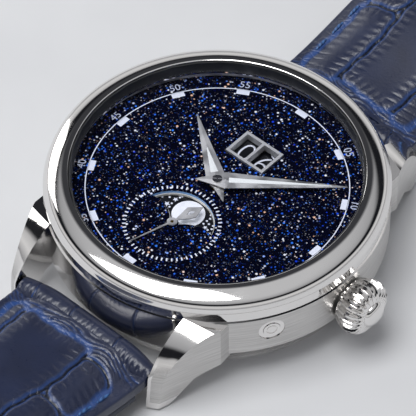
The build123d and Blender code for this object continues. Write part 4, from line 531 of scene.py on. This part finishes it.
def finished(piece, body, material, node=None, sharp=None):
    """Give a piece its material and body, hide its CAD node if one is given, and shade it smooth but for
    edges past an angle.
    """
    if sharp:
        pick(piece)
        bpy.ops.object.shade_smooth_by_angle(angle=math.radians(sharp))
    piece.data.materials.clear()
    piece.data.materials.append(material)
    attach(piece, body)
    if node:
        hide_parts(node)
    return piece


def figure(text, middle, level, height, degrees, thinned):
    """A printed figure of a given height, centred on a place, turned clockwise, its strokes thinned."""
    piece = added(bpy.ops.object.text_add)
    piece.data.body = text
    piece.data.align_x = piece.data.align_y = "CENTER"
    piece.data.resolution_u = 4
    piece.data.offset = -thinned
    bpy.ops.object.convert(target="MESH")
    corners = np.array([vertex.co for vertex in piece.data.vertices])
    low, high = corners.min(0), corners.max(0)
    centre = (low + high) / 2
    scale = height * MM / (high[1] - low[1])
    to_origin = Matrix.Translation((-centre[0], -centre[1], 0.0))
    sized = Matrix.Diagonal((scale, scale, scale, 1.0))
    placed = Matrix.Translation((middle[0] * MM, middle[1] * MM, level * MM))
    spun = Matrix.Rotation(-math.radians(degrees), 4, "Z")
    piece.data.transform(placed @ spun @ sized @ to_origin)
    thicken(piece)
    return piece


# ---------------------------------------------------------------- bezel and crown
def make_bezel():
    """The bezel, domed in one sweep from its opening to its foot."""
    # Corners as radius and height, in millimetres
    profile = (
        (17.0, 11.46), (17.0, 12.94), (17.03, 13.02), (17.12, 13.06), (17.5, 13.05), (17.9, 12.99),
        (18.3, 12.88), (18.7, 12.74), (19.05, 12.58), (19.32, 12.4), (19.52, 12.18), (19.68, 11.92),
        (19.8, 11.66), (19.92, 11.3), (19.95, 11.25), (16.58, 11.25), (16.58, 11.46),
    )
    bezel = turned(profile, True)
    bezel.name = "domed_bezel"
    finished(bezel, "case", POLISHED, "bezel", 30.0)


def make_crown():
    """The onion crown: a turned body pulled in along 24 flutes, with a smooth domed cap."""
    # Corners as radius and distance out from the watch's middle, in millimetres
    profile = (
        (0.5, 21.05), (1.3, 21.05), (1.3, 20.2), (1.36, 20.15), (2.65, 20.15), (2.8, 20.22), (3.02, 20.6),
        (3.24, 21.1), (3.34, 21.6), (3.35, 22.0), (3.28, 22.4), (3.12, 22.8), (2.85, 23.12), (2.45, 23.36),
        (2.0, 23.5), (1.62, 23.52), (1.6, 23.62), (1.52, 23.8), (1.3, 24.0), (0.95, 24.15), (0.5, 24.23),
        (0.02, 24.25),
    )
    flute_columns = TURNED_SIDES // CROWN_FLUTES
    column = 2 * math.pi / TURNED_SIDES
    crown = turned(profile, False)
    edit(crown)
    # Each flute's middle column is pulled in most, and the ones beside it less
    for offset, pull in ((0, 0.83), (1, 0.86), (2, 0.94)):
        def in_flute(co):
            """Whether a corner lies so many columns from a flute's middle, outside the cap and the foot."""
            step = round(math.atan2(co.y, co.x) / column) % flute_columns
            return min(step, flute_columns - step) == offset and co.xy.length > 1.75 and co.z > 20.17
        select(crown, in_flute)
        bpy.ops.transform.resize(value=(pull, pull, 1.0), center_override=(0.0, 0.0, 0.0))
    leave()
    lift = Matrix.Translation((0.0, 0.0, CROWN_Z * MM))
    crown.data.transform(lift @ Matrix.Rotation(math.pi / 2, 4, "Y"))
    crown.name = "fluted_crown"
    finished(crown, "crown_stem", POLISHED, "crown", 40.0)


# ---------------------------------------------------------------- dial prints
def bar_print(middle, radius, width, length):
    """A short printed bar across a radius at twelve o'clock of a ring, with eased corners."""
    place = (middle[0] * MM, (middle[1] + radius) * MM, DIAL_TOP * MM)
    piece = added(bpy.ops.mesh.primitive_plane_add, size=MM, location=place)
    edit(piece)
    bpy.ops.transform.resize(value=(width, length, 1.0), center_override=place)
    bpy.ops.mesh.bevel(offset=0.04 * MM, segments=2, affect="VERTICES")
    leave()
    settle(piece)
    thicken(piece)
    return piece


def ring_print(middle, inner, outer, level, sides):
    """A thin printed circle line."""
    place = (middle[0] * MM, middle[1] * MM, level * MM)
    piece = added(bpy.ops.mesh.primitive_circle_add, vertices=sides, radius=inner * MM, location=place)
    edit(piece)
    bpy.ops.mesh.extrude_edges_move()
    grow = outer / inner
    bpy.ops.transform.resize(value=(grow, grow, 1.0), center_override=place)
    bpy.ops.mesh.select_all(action="SELECT")
    bpy.ops.mesh.normals_make_consistent(inside=False)
    leave()
    settle(piece)
    if piece.data.polygons[0].normal.z < 0:
        piece.data.flip_normals()
    thicken(piece)
    return piece


def make_minute_ring():
    """The circle line with its twelve blocks near the dial's edge."""
    line = ring_print(DIAL_MIDDLE, 15.1, 15.22, DIAL_TOP, 192)
    block = bar_print(DIAL_MIDDLE, 14.78, 1.55, 0.74)
    blocks = [copied(block, turned_about(DIAL_MIDDLE, 30.0 * hour)) for hour in range(1, 12)]
    finished(united([line, block, *blocks], "minute_ring_print"), "case", WHITE_INK)


def make_minute_figures():
    """The small minute figures outside the ring, their tops outward."""
    figures = []
    for minutes in range(5, 60, 5):
        turn = 6.0 * minutes
        place = polar(DIAL_MIDDLE, 16.0, 90.0 - turn)
        figures.append(figure(f"{minutes:02d}", place, DIAL_TOP, 0.95, turn, 0.0))
    finished(united(figures, "minute_figures_print"), "case", GREY_INK)


def make_seconds_ticks():
    """Sixty ticks round the small seconds."""
    tick = bar_print(SMALL_DIAL, 5.44, 0.17, 0.43)
    ticks = [copied(tick, turned_about(SMALL_DIAL, 6.0 * second)) for second in range(1, 60)]
    finished(united([tick, *ticks], "seconds_ticks_print"), "case", WHITE_INK)


def make_moons():
    """Two slightly domed moons, half a turn apart on the disc."""
    disc = {"vertices": 64, "radius": 1.94 * MM, "fill_type": "NGON"}
    place = (0.0, (SMALL_DIAL[1] + 2.74) * MM, UPPER_DISC_TOP * MM)
    moon = added(bpy.ops.mesh.primitive_circle_add, **disc, location=place)
    edit(moon)
    for width, lift in ((0.06, 0.03), (0.35, 0.02), (0.5, 0.01)):
        bpy.ops.mesh.inset(thickness=width * MM)
        bpy.ops.transform.translate(value=(0.0, 0.0, lift * MM))
    leave()
    settle(moon)
    twin = copied(moon, turned_about(SMALL_DIAL, 180.0))
    finished(united([moon, twin], "moons"), "moon", MOON_SILVER, sharp=60.0)


def star(radius, place):
    """A five-pointed star laid flat on the moon disc."""
    points = {"vertices": 10, "radius": radius * MM, "fill_type": "NGON"}
    spot = (place[0] * MM, place[1] * MM, UPPER_DISC_TOP * MM)
    piece = added(bpy.ops.mesh.primitive_circle_add, **points, location=spot)
    for index in range(1, 10, 2):
        piece.data.vertices[index].co *= 0.42
    settle(piece)
    thicken(piece)
    return piece


def make_stars():
    """Stars and small round ones on the black between the two moons."""
    stars = []
    for half_turn in (0.0, 180.0):
        for turn, reach, radius in STAR_PLACES:
            stars.append(star(radius, polar(SMALL_DIAL, reach, turn + half_turn)))
        for turn, reach in DOT_PLACES:
            place = polar(SMALL_DIAL, reach, turn + half_turn)
            stars.append(ring_print(place, 0.02, 0.13, UPPER_DISC_TOP, 12))
    finished(united(stars, "stars"), "moon", WHITE_INK)


def make_date_figures():
    """The figures of the two date discs, upright in their windows, 0 and 6 at rest."""
    for name, body, middle, reach, base, level, count, first in (
        ("tens_figures", "date_tens", TENS_AT, 2.9, 0.0, UPPER_DISC_TOP, 4, 0),
        ("units_figures", "date_units", UNITS_AT, 4.5, 180.0, LOWER_DISC_TOP, 10, 6),
    ):
        figures = []
        for step in range(count):
            turn = -360.0 / count * step
            place = polar(middle, reach, base - turn)
            figures.append(figure(str((first + step) % 10), place, level, 2.7, turn, 0.018))
        finished(united(figures, name), body, WHITE_INK)


def make_lume_strip(name, body, turn, start, end, half_start, half_end, low):
    """A tapering strip of luminous paint in a hand's bed, its top rounded over."""
    middle = (0.0, (start + end) / 2 * MM, low * MM)
    piece = added(bpy.ops.mesh.primitive_plane_add, size=MM, location=middle)
    edit(piece)
    bpy.ops.transform.resize(value=(2 * half_start, end - start, 1.0), center_override=middle)
    select(piece, lambda co: co.y > 0)
    narrow = half_end / half_start
    bpy.ops.transform.resize(value=(narrow, 1.0, 1.0), center_override=middle)
    bpy.ops.mesh.select_all(action="SELECT")
    bpy.ops.mesh.extrude_region_move(TRANSFORM_OT_translate={"value": (0.0, 0.0, LUME_HEIGHT * MM)})
    leave()
    settle(piece)
    ease = piece.modifiers.new("eased", "BEVEL")
    ease.width = min(half_end, LUME_HEIGHT) * 0.6 * MM
    ease.segments = 2
    ease.limit_method = "ANGLE"
    bpy.ops.object.modifier_apply(modifier=ease.name)
    piece.data.transform(turned_about(DIAL_MIDDLE, turn))
    piece.name = name
    finished(piece, body, LUME, sharp=35.0)


# ---------------------------------------------------------------- strap
def between(ends, share):
    """The value a share of the way from one end value to the other."""
    return ends[0] + (ends[1] - ends[0]) * share


def seam_line(half, along):
    """Height and slope of a strap half's seam line: an arch up from the bar, then a long fall to the end."""
    drop = BAR_Z + ARCH_RISE - half.end_z
    fall_reach = half.length - ARCH_REACH
    rise = np.pi * np.clip(along, 0.0, ARCH_REACH) / ARCH_REACH
    fall = np.pi * np.clip(along - ARCH_REACH, 0.0, None) / fall_reach
    near = BAR_Z + ARCH_RISE * (1 - np.cos(rise)) / 2
    far = half.end_z + drop * (1 + np.cos(fall)) / 2
    near_slope = ARCH_RISE * np.pi / ARCH_REACH * np.sin(rise) / 2
    far_slope = -drop * np.pi / fall_reach * np.sin(fall) / 2
    arched = along <= ARCH_REACH
    return np.where(arched, near, far), np.where(arched, near_slope, far_slope)


def on_strap(half, along, x, rise):
    """Points at a distance along and across a strap half and above its seam line, in metres."""
    height, slope = seam_line(half, along)
    norm = np.hypot(1.0, slope)
    y = half.side * (BAR_Y + along - rise * slope / norm)
    return np.stack([x, y, height + rise / norm], -1) * MM


def half_width(half, along, tip):
    """Half the strap's width at a distance from its bar, drawn in to a blunt point where it has a tip."""
    width = between(HALF_WIDTHS, along / half.length)
    if not tip:
        return width
    return np.minimum(width, 2.5 + 6.5 * np.clip(half.length - along, 0.0, None) / 9.0)


def scale_edges(x, along, columns, seed):
    """How far each point is from the nearest scale's edge, below 0 on the scale, and how far along that edge.

    Each column of scales is given as its two sides, its first edge and its pitch, in millimetres.
    """
    random = np.random.default_rng(seed)
    x = x + 0.22 * np.sin(along * 0.5 + seed) + 0.08 * np.sin(along * 2.1)
    along = along + 0.3 * np.sin(x * 0.55 + seed) + 0.08 * np.sin(x * 2.3)
    nearest = np.full(x.shape, 99.0)
    run = np.zeros(x.shape)
    for low, high, start, pitch in columns:
        edges = start + pitch * np.arange(40) + random.uniform(-0.12, 0.12, 40) * pitch
        for first, last in zip(edges[:-1], edges[1:]):
            half_x, half_y = (high - low) / 2, (last - first) / 2
            corner = min(1.6, half_x, half_y) * 0.9
            out_x = np.abs(x - (low + high) / 2) - half_x + corner
            out_y = np.abs(along - (first + last) / 2) - half_y + corner
            beyond = np.hypot(out_x.clip(0.0, None), out_y.clip(0.0, None))
            reach = beyond + np.maximum(out_x, out_y).clip(None, 0.0) - corner
            run = np.where(reach < nearest, np.where(out_x > out_y, along, x), run)
            nearest = np.minimum(nearest, reach)
    return nearest, run


def skin(primitive, name, points, marks=None):
    """A closed skin over rings of points, from a grid or a torus, with its marks of painted shade in each
    groove and painted highlight on each rim.
    """
    rings, around = points.shape[:2]
    marks = marks or [np.zeros((rings, around))] * 2
    if primitive == "loop":
        piece = added(bpy.ops.mesh.primitive_torus_add, major_segments=rings, minor_segments=around)
    else:
        piece = added(bpy.ops.mesh.primitive_grid_add, x_subdivisions=around, y_subdivisions=rings - 1)
        points = np.hstack([points, points[:, :1]])
        marks = [np.hstack([mark, mark[:, :1]]) for mark in marks]
    piece.data.vertices.foreach_set("co", points.ravel())
    for label, mark in zip(("groove", "rim"), marks):
        layer = piece.data.attributes.new(label, "FLOAT", "POINT")
        layer.data.foreach_set("value", mark.ravel())
    piece.data.update()
    edit(piece)
    close_up(0.001)
    leave()
    piece.name = name
    return piece


def leather_relief(half, along, x, width, columns, seed):
    """The leather's height above its seam line, its marks of painted shade and painted highlight, and how its
    tip is blunted.
    """
    share = along / half.length
    crown, edge = between(PADDED_TOP, share), between(BORDER_TOP, share)
    # The padding climbs from the flat border towards the middle
    climb = np.clip((width - 1.9 - np.abs(x)) / (0.42 * width), 0.0, 1.0)
    padding = np.sin(climb * np.pi / 2) ** 0.9
    # Where the half leaves its roll, it wrinkles in wandering folds instead of scales
    near = np.clip((3.6 - along) / 0.8, 0.0, 1.0) * np.clip((along - 0.9) / 0.5, 0.0, 1.0)
    wander = 0.55 * np.sin(x * 0.45 + 0.6) + 0.13 * np.sin(x * 1.3 + along * 1.2)
    wander = wander + 0.05 * np.sin(x * 3.1 + along * 4.0)
    folds = 1 - np.abs(np.sin(np.pi * (along + wander) / (0.62 + 0.16 * np.sin(x * 0.8)))) ** 0.45
    folds = folds * (0.35 + 0.65 * np.sin(x * 0.6 + along * 2.3 + 0.7) ** 2)
    # Elsewhere grooves part the scales, and short ticks run in from their rims, 1.05 mm apart
    inside, run = scale_edges(x, along, columns, seed)
    border = np.clip((np.abs(x) - width + 2.1) / 0.3, 0.0, 1.0)
    groove = np.exp(-(np.abs(inside) / 0.3) ** 1.6) * (1 - near) * (1 - 0.8 * border)
    rim = np.exp(-np.abs(inside) / 0.9)
    ticks = np.exp(-(((run / 1.05) % 1.0 - 0.5) / 0.13) ** 2) * np.exp(-((inside + 1.1) / 0.65) ** 2)
    rise = edge + (crown - edge) * padding
    rise = rise - (groove * 0.42 + 0.1 * rim + 0.3 * near * folds) * (0.35 + 0.65 * padding)
    rise = rise - 0.1 * ticks * (1 - near)
    blunt = np.sqrt(np.clip(1 - ((along - half.length + 0.8).clip(0.0, None) / 0.8) ** 2, 0.02, 1.0))
    # Marks for painted light: painted shade in each groove, fold and tick, and a painted highlight along each
    # rim and over the folds
    groove_shade_marks = groove + 0.8 * near * folds + 0.5 * ticks
    rim_highlight_marks = np.maximum(rim, near * (0.5 + 0.35 * folds))
    return rise * blunt, (groove_shade_marks, rim_highlight_marks), blunt


def leather_half(half, end, columns, seed, tip):
    """The padded outer leather of a strap half, with walls down to the lining."""
    # Stations stand closer where the folds are
    along = np.concatenate([np.arange(0.8, 6.0, 0.11), np.arange(6.0, end - 0.1, 0.27), [end]])[:, None]
    width = half_width(half, along, tip)
    x = np.linspace(-1.0, 1.0, 101)[None, :] * (width - 0.22)
    rise, marks, blunt = leather_relief(half, along, x, width, columns, seed)
    top = on_strap(half, along, x, rise)
    depth = between(SEAM_DEPTH, along / half.length)
    wall_x = np.hstack([width - 0.06, width, width])
    wall_rise = np.hstack([rise[:, -1:] - 0.07, rise[:, -1:] - 0.25, -depth * blunt])
    right = on_strap(half, along, wall_x, wall_rise)
    left = on_strap(half, along, -wall_x[:, ::-1], wall_rise[:, ::-1])
    unmarked = np.zeros((len(along), 2 * wall_x.shape[1]))
    marks = [np.hstack([mark, unmarked]) for mark in marks]
    return skin("grid", "leather", np.hstack([top, right, left]), marks)


def bar_roll(half, creases):
    """The leather turned round the spring bar: crowned, pleated where it is pinched, with a few creases."""
    angle = np.linspace(0.0, 2 * np.pi, 72, endpoint=False)[:, None]
    reach_x = HALF_WIDTHS[0] - 0.05
    x = np.linspace(-1.0, 1.0, 221)[None, :] * reach_x
    climb = np.clip((1 - np.abs(x) / HALF_WIDTHS[0]) / 0.5, 0.0, 1.0)
    radius = 1.12 + 0.71 * np.sin(climb * np.pi / 2)
    pinch = np.exp(-((angle - (np.pi / 2 - half.side * 0.62)) / (0.4 + 0.12 * np.sin(x * 1.3))) ** 2)
    pleats = np.abs(np.sin(x * 3.7 + 1.3 * np.sin(x * 0.9) + 0.3 * np.sin(angle * 4))) ** 6
    crease = sum(np.exp(-((x - place + 0.25 * np.sin(angle * 2)) / 0.16) ** 2) for place in creases)
    outer = radius - 0.17 * pinch * pleats - 0.18 * crease
    bore_x = np.broadcast_to(np.linspace(reach_x, -reach_x, 9), (72, 9))
    reach = np.hstack([outer, np.full(bore_x.shape, 0.73)])
    wide_x = np.hstack([np.broadcast_to(x, outer.shape), bore_x])
    y = half.side * BAR_Y + reach * np.cos(angle)
    z = BAR_Z + reach * np.sin(angle)
    # Marks for painted light: painted shade in the creases and pinched pleats, and a painted highlight along
    # the creases and the pinch
    marks = [
        np.hstack([mark, np.zeros(bore_x.shape)])
        for mark in (0.75 * crease + 0.45 * pinch * pleats, 0.8 * crease + 0.4 * pinch)
    ]
    return skin("loop", "roll", np.stack([wide_x, y, z], -1) * MM, marks)


def slab(half, start, end, sides, top, thickness, tip=False):
    """A flat layer of leather between two distances along a half and two across it, with eased edges."""
    along = np.linspace(start, end, max(4, int((end - start) / 1.2)))[:, None]
    share = along / half.length
    width = half_width(half, along, tip) - 0.02
    low, high = np.maximum(sides[0], -width), np.minimum(sides[1], width)
    upper_x = between((low + 0.2, high - 0.2), np.linspace(0.0, 1.0, 21)[None, :])
    upper = np.broadcast_to(between(top, share), upper_x.shape)
    lower = upper - between(thickness, share)
    near, far = upper[:, :1] - 0.2, lower[:, :1] + 0.25
    x = np.hstack([upper_x, high, high, upper_x[:, ::-1], low, low])
    rise = np.hstack([upper, near, far, lower, far, near])
    return skin("grid", "layer", on_strap(half, along, x, rise))


def buckle_roll(low_x, high_x):
    """One side of the leather turned round the buckle's bar."""
    angle = np.linspace(0.0, 2 * np.pi, 40, endpoint=False)[:, None]
    outer_x = np.linspace(low_x, high_x, 25)[None, :]
    middle, reach_x = (low_x + high_x) / 2, (high_x - low_x) / 2
    outer = 1.27 - 0.1 * (np.abs(outer_x - middle) / reach_x) ** 8
    x = np.hstack([outer_x, np.linspace(high_x, low_x, 5)[None, :]])
    reach = np.hstack([outer, np.full((1, 5), 0.64)])
    y = BAR_Y + SHORT.length + reach * np.cos(angle)
    z = SHORT.end_z + reach * np.sin(angle)
    return skin("loop", "end", np.stack([np.broadcast_to(x, y.shape), y, z], -1) * MM)


def punch_holes(piece):
    """Punch the row of buckle holes through a layer of the long half."""
    punches = []
    for index in range(HOLES):
        place = (0.0, -(BAR_Y + LONG.length - FIRST_HOLE - HOLE_PITCH * index) * MM, 0.0)
        pin = {"vertices": 24, "radius": HOLE_RADIUS * MM, "depth": 20 * MM}
        punches.append(added(bpy.ops.mesh.primitive_cylinder_add, **pin, location=place))
        settle(punches[-1])
    punch = united(punches, "punch")
    bpy.context.view_layer.objects.active = piece
    trim = piece.modifiers.new("holes", "BOOLEAN")
    trim.operation = "DIFFERENCE"
    trim.object = punch
    bpy.ops.object.modifier_apply(modifier=trim.name)
    bpy.data.objects.remove(punch)


def stitch_rows(name, half, start, end, body):
    """Two rows of stitches along the border, each stitch sunk at its ends."""
    thread = {"vertices": 8, "radius": 0.2 * MM, "depth": 2.0 * MM}
    stitch = added(bpy.ops.mesh.primitive_cylinder_add, **thread, rotation=(math.pi / 2, 0.0, 0.0))
    settle(stitch)
    edit(stitch)
    bpy.ops.mesh.subdivide(number_cuts=2)
    select(stitch, lambda co: abs(co.y) > 0.9)
    bpy.ops.transform.translate(value=(0.0, 0.0, -0.14 * MM))
    bpy.ops.transform.resize(value=(0.6, 1.0, 0.6), center_override=(0.0, 0.0, 0.0))
    leave()
    stitches = []
    count = int((end - start) / STITCH_PITCH)
    for index in range(count):
        along = np.array(start + (index + 0.5) * (end - start) / count)
        share = float(along) / half.length
        tilt = Matrix.Rotation(half.side * math.atan(float(seam_line(half, along)[1])), 4, "X")
        for edge_side in (-1, 1):
            x = np.array(edge_side * (between(HALF_WIDTHS, share) - 1.35))
            place = on_strap(half, along, x, np.array(between(BORDER_TOP, share) + 0.04))
            stitches.append(copied(stitch, Matrix.Translation(Vector(place)) @ tilt))
    bpy.data.objects.remove(stitch)
    finished(united(stitches, name), body, THREAD, sharp=60.0)


def dress_strap(piece, body, slot, node):
    """Finish a leather piece in the material of its slot, and hide its CAD node."""
    finished(piece, body, SLOT_MATERIALS[slot], node, 50.0)


def make_long_strap():
    """The half at six o'clock, with broad scales down its middle and narrow ones beside them."""
    columns = ((-8.3, -6.2, 2.6, 6.5), (-6.2, 3.6, 3.4, 15.5), (3.6, 8.2, 3.2, 7.6))
    leather = leather_half(LONG, LONG.length, columns, 6, True)
    punch_holes(leather)
    leather = united([leather, bar_roll(LONG, (-7.6, -2.1, 4.6))], "strap_6_leather")
    lining = slab(LONG, 2.6, LONG.length, WHOLE_WIDTH, LINING_TOP, LINING_THICKNESS, True)
    lining.name = "strap_6_lining_leather"
    punch_holes(lining)
    dress_strap(leather, "strap_long", "navy_leather", "strap_6")
    dress_strap(lining, "strap_long", "lining_leather", "strap_6_lining")
    stitch_rows("stitches_6", LONG, 5.0, LONG.length - 10.0, "strap_long")


def make_short_strap():
    """The half at twelve o'clock, split at its end for the tongue."""
    columns = ((-8.3, -3.0, 2.6, 11.0), (-3.0, 5.6, 3.2, 16.5), (5.6, 8.3, 3.0, 7.0))
    split = SHORT.length - 3.1
    lining_end = SHORT.length - 1.35
    leather = [leather_half(SHORT, split, columns, 12, False)]
    lining = [slab(SHORT, 2.6, split, WHOLE_WIDTH, LINING_TOP, LINING_THICKNESS)]
    for sides in ((WHOLE_WIDTH[0], -1.2), (1.2, WHOLE_WIDTH[1])):
        leather.append(slab(SHORT, split - 0.1, SHORT.length, sides, (1.2, 1.1), (1.6, 1.45)))
        leather.append(buckle_roll(max(sides[0], -8.95), min(sides[1], 8.95)))
        lining.append(slab(SHORT, split - 0.1, lining_end, sides, LINING_TOP, LINING_THICKNESS))
    leather.append(bar_roll(SHORT, (-3.2, 3.4, 7.4)))
    dress_strap(united(leather, "strap_12_leather"), "strap_short", "navy_leather", "strap_12")
    dress_strap(united(lining, "strap_12_lining_leather"), "strap_short", "lining_leather", "strap_12_lining")
    stitch_rows("stitches_12", SHORT, 5.0, SHORT.length - 5.0, "strap_short")


def make_keeper(node, setback, body):
    """A leather loop round the short half, crowned across its width, with rounded corners."""
    along = SHORT.length - setback
    share = along / SHORT.length
    width = between(HALF_WIDTHS, share) + 0.75
    low = -between(SEAM_DEPTH, share) - between(LINING_THICKNESS, share) - 0.75
    high = between(PADDED_TOP, share) + 3.65
    angle = np.linspace(0.0, 2 * np.pi, 96, endpoint=False)[:, None]
    # A rounded rectangle through the middle of the loop's wall
    cos, sin = np.cos(angle), np.sin(angle)
    middle_x = width * np.sign(cos) * np.abs(cos) ** 0.16
    middle_z = (low + high) / 2 + (high - low) / 2 * np.sign(sin) * np.abs(sin) ** 0.16
    run_x = np.roll(middle_x, -1, 0) - np.roll(middle_x, 1, 0)
    run_z = np.roll(middle_z, -1, 0) - np.roll(middle_z, 1, 0)
    run = np.hypot(run_x, run_z)
    # The wall's section, 5 mm wide and 0.92 mm thick, with rounded corners
    around = np.linspace(0.0, 2 * np.pi, 20, endpoint=False)[None, :]
    reach = 2.5 * np.sign(np.cos(around)) * np.abs(np.cos(around)) ** 0.35
    thick = 0.46 * np.sign(np.sin(around)) * np.abs(np.sin(around)) ** 0.6
    x = middle_x + run_z / run * thick
    rise = middle_z - run_x / run * thick
    loop = skin("loop", f"{node}_leather", on_strap(SHORT, along + reach, x, rise))
    dress_strap(loop, body, "navy_leather", node)


make_bezel()
make_crown()
make_minute_ring()
make_minute_figures()
make_seconds_ticks()
make_moons()
make_stars()
make_date_figures()
make_lume_strip("minute_lume", "minutes", MINUTE_HAND_TURN, 1.32, 13.1, 0.38, 0.05, 11.09)
make_lume_strip("hour_lume", "hours", HOUR_HAND_TURN, 1.52, 5.38, 0.46, 0.06, 10.71)
make_long_strap()
make_short_strap()
make_keeper("fixed_keeper", 9.0, "strap_short")
make_keeper("loose_keeper", 20.0, "keeper")


# ---------------------------------------------------------------- studio
def make_floor():
    """A wide pale floor under the watch."""
    floor = added(bpy.ops.mesh.primitive_plane_add, size=6.0)
    edit(floor)
    bpy.ops.mesh.subdivide(number_cuts=4)
    leave()
    floor.name = "studio_floor"
    # Painted board, rolled matt
    floor.data.materials.append(toned("studio_floor", 0.0, 0.7, "#D6D7D9", "#CACBCE", 60.0, 0.00002))


def compass(azimuth, elevation):
    """The direction at an azimuth clockwise from the watch's twelve and an elevation, in degrees."""
    turn, lift = math.radians(azimuth), math.radians(elevation)
    return Vector((math.sin(turn) * math.cos(lift), math.cos(turn) * math.cos(lift), math.sin(lift)))


def make_lamp(name, way, distance, size, power):
    """A soft square lamp aimed at the watch."""
    aim = (-way).to_track_quat("-Z", "Y").to_euler()
    lamp = added(bpy.ops.object.light_add, type="AREA", location=way * distance, rotation=aim)
    lamp.name = name
    lamp.data.size = size
    lamp.data.energy = power


def make_world():
    """A pale room with a dark band at half height, and a dark screen where the flat dial would mirror it."""
    world = bpy.data.worlds.new("studio_room")
    bpy.context.scene.world = world
    world.use_nodes = True
    tree = world.node_tree
    direction = add_node(tree, "TexCoord")["Generated"]
    upward = add_node(tree, "SeparateXYZ", {"Vector": direction})["Z"]
    shades = (
        (0.0, "#949598"), (0.22, "#DEDEDF"), (0.37, "#C4C4C6"), (0.44, "#1C1D21"), (0.6, "#1C1D21"),
        (0.68, "#A2A3A6"), (0.92, "#C6C7CA"),
    )
    room = add_node(tree, "ValToRGB", {"Fac": upward}, None, shades)["Color"]
    towards = {0: direction, 1: (-0.439, 0.4875, 0.7547)}
    facing = add_node(tree, "VectorMath", towards, {"operation": "DOT_PRODUCT"})["Value"]
    screen = add_node(tree, "MapRange", {"Value": facing, "From Min": 0.93, "From Max": 0.97})["Result"]
    room = add_node(tree, "Mix", {0: screen, 6: room, 7: "#3C3D41"}, COLOURS)[2]
    plug(tree, tree.nodes["Background"], {"Color": room})


def make_camera():
    """The camera where the photograph was taken from."""
    data = bpy.data.cameras.new("camera")
    data.lens = 263.37
    data.sensor_width = 36.0
    data.clip_start = 0.01
    camera = bpy.data.objects.new("camera", data)
    bpy.context.scene.collection.objects.link(camera)
    turn = Matrix.Rotation(math.radians(42.295), 4, "Z") @ Matrix.Rotation(math.radians(40.767), 4, "X")
    roll = Matrix.Rotation(math.radians(-0.465), 4, "Z")
    camera.matrix_world = Matrix.Translation((0.15376, -0.17063, 0.27255)) @ turn @ roll
    bpy.context.scene.camera = camera


make_floor()
make_lamp("key_lamp", compass(212.0, 74.0), 0.9, 0.6, 6.3)
make_lamp("side_lamp", compass(275.0, 22.0), 0.8, 0.4, 1.2)
make_world()
make_camera()
bpy.context.scene.view_settings.view_transform = "Standard"
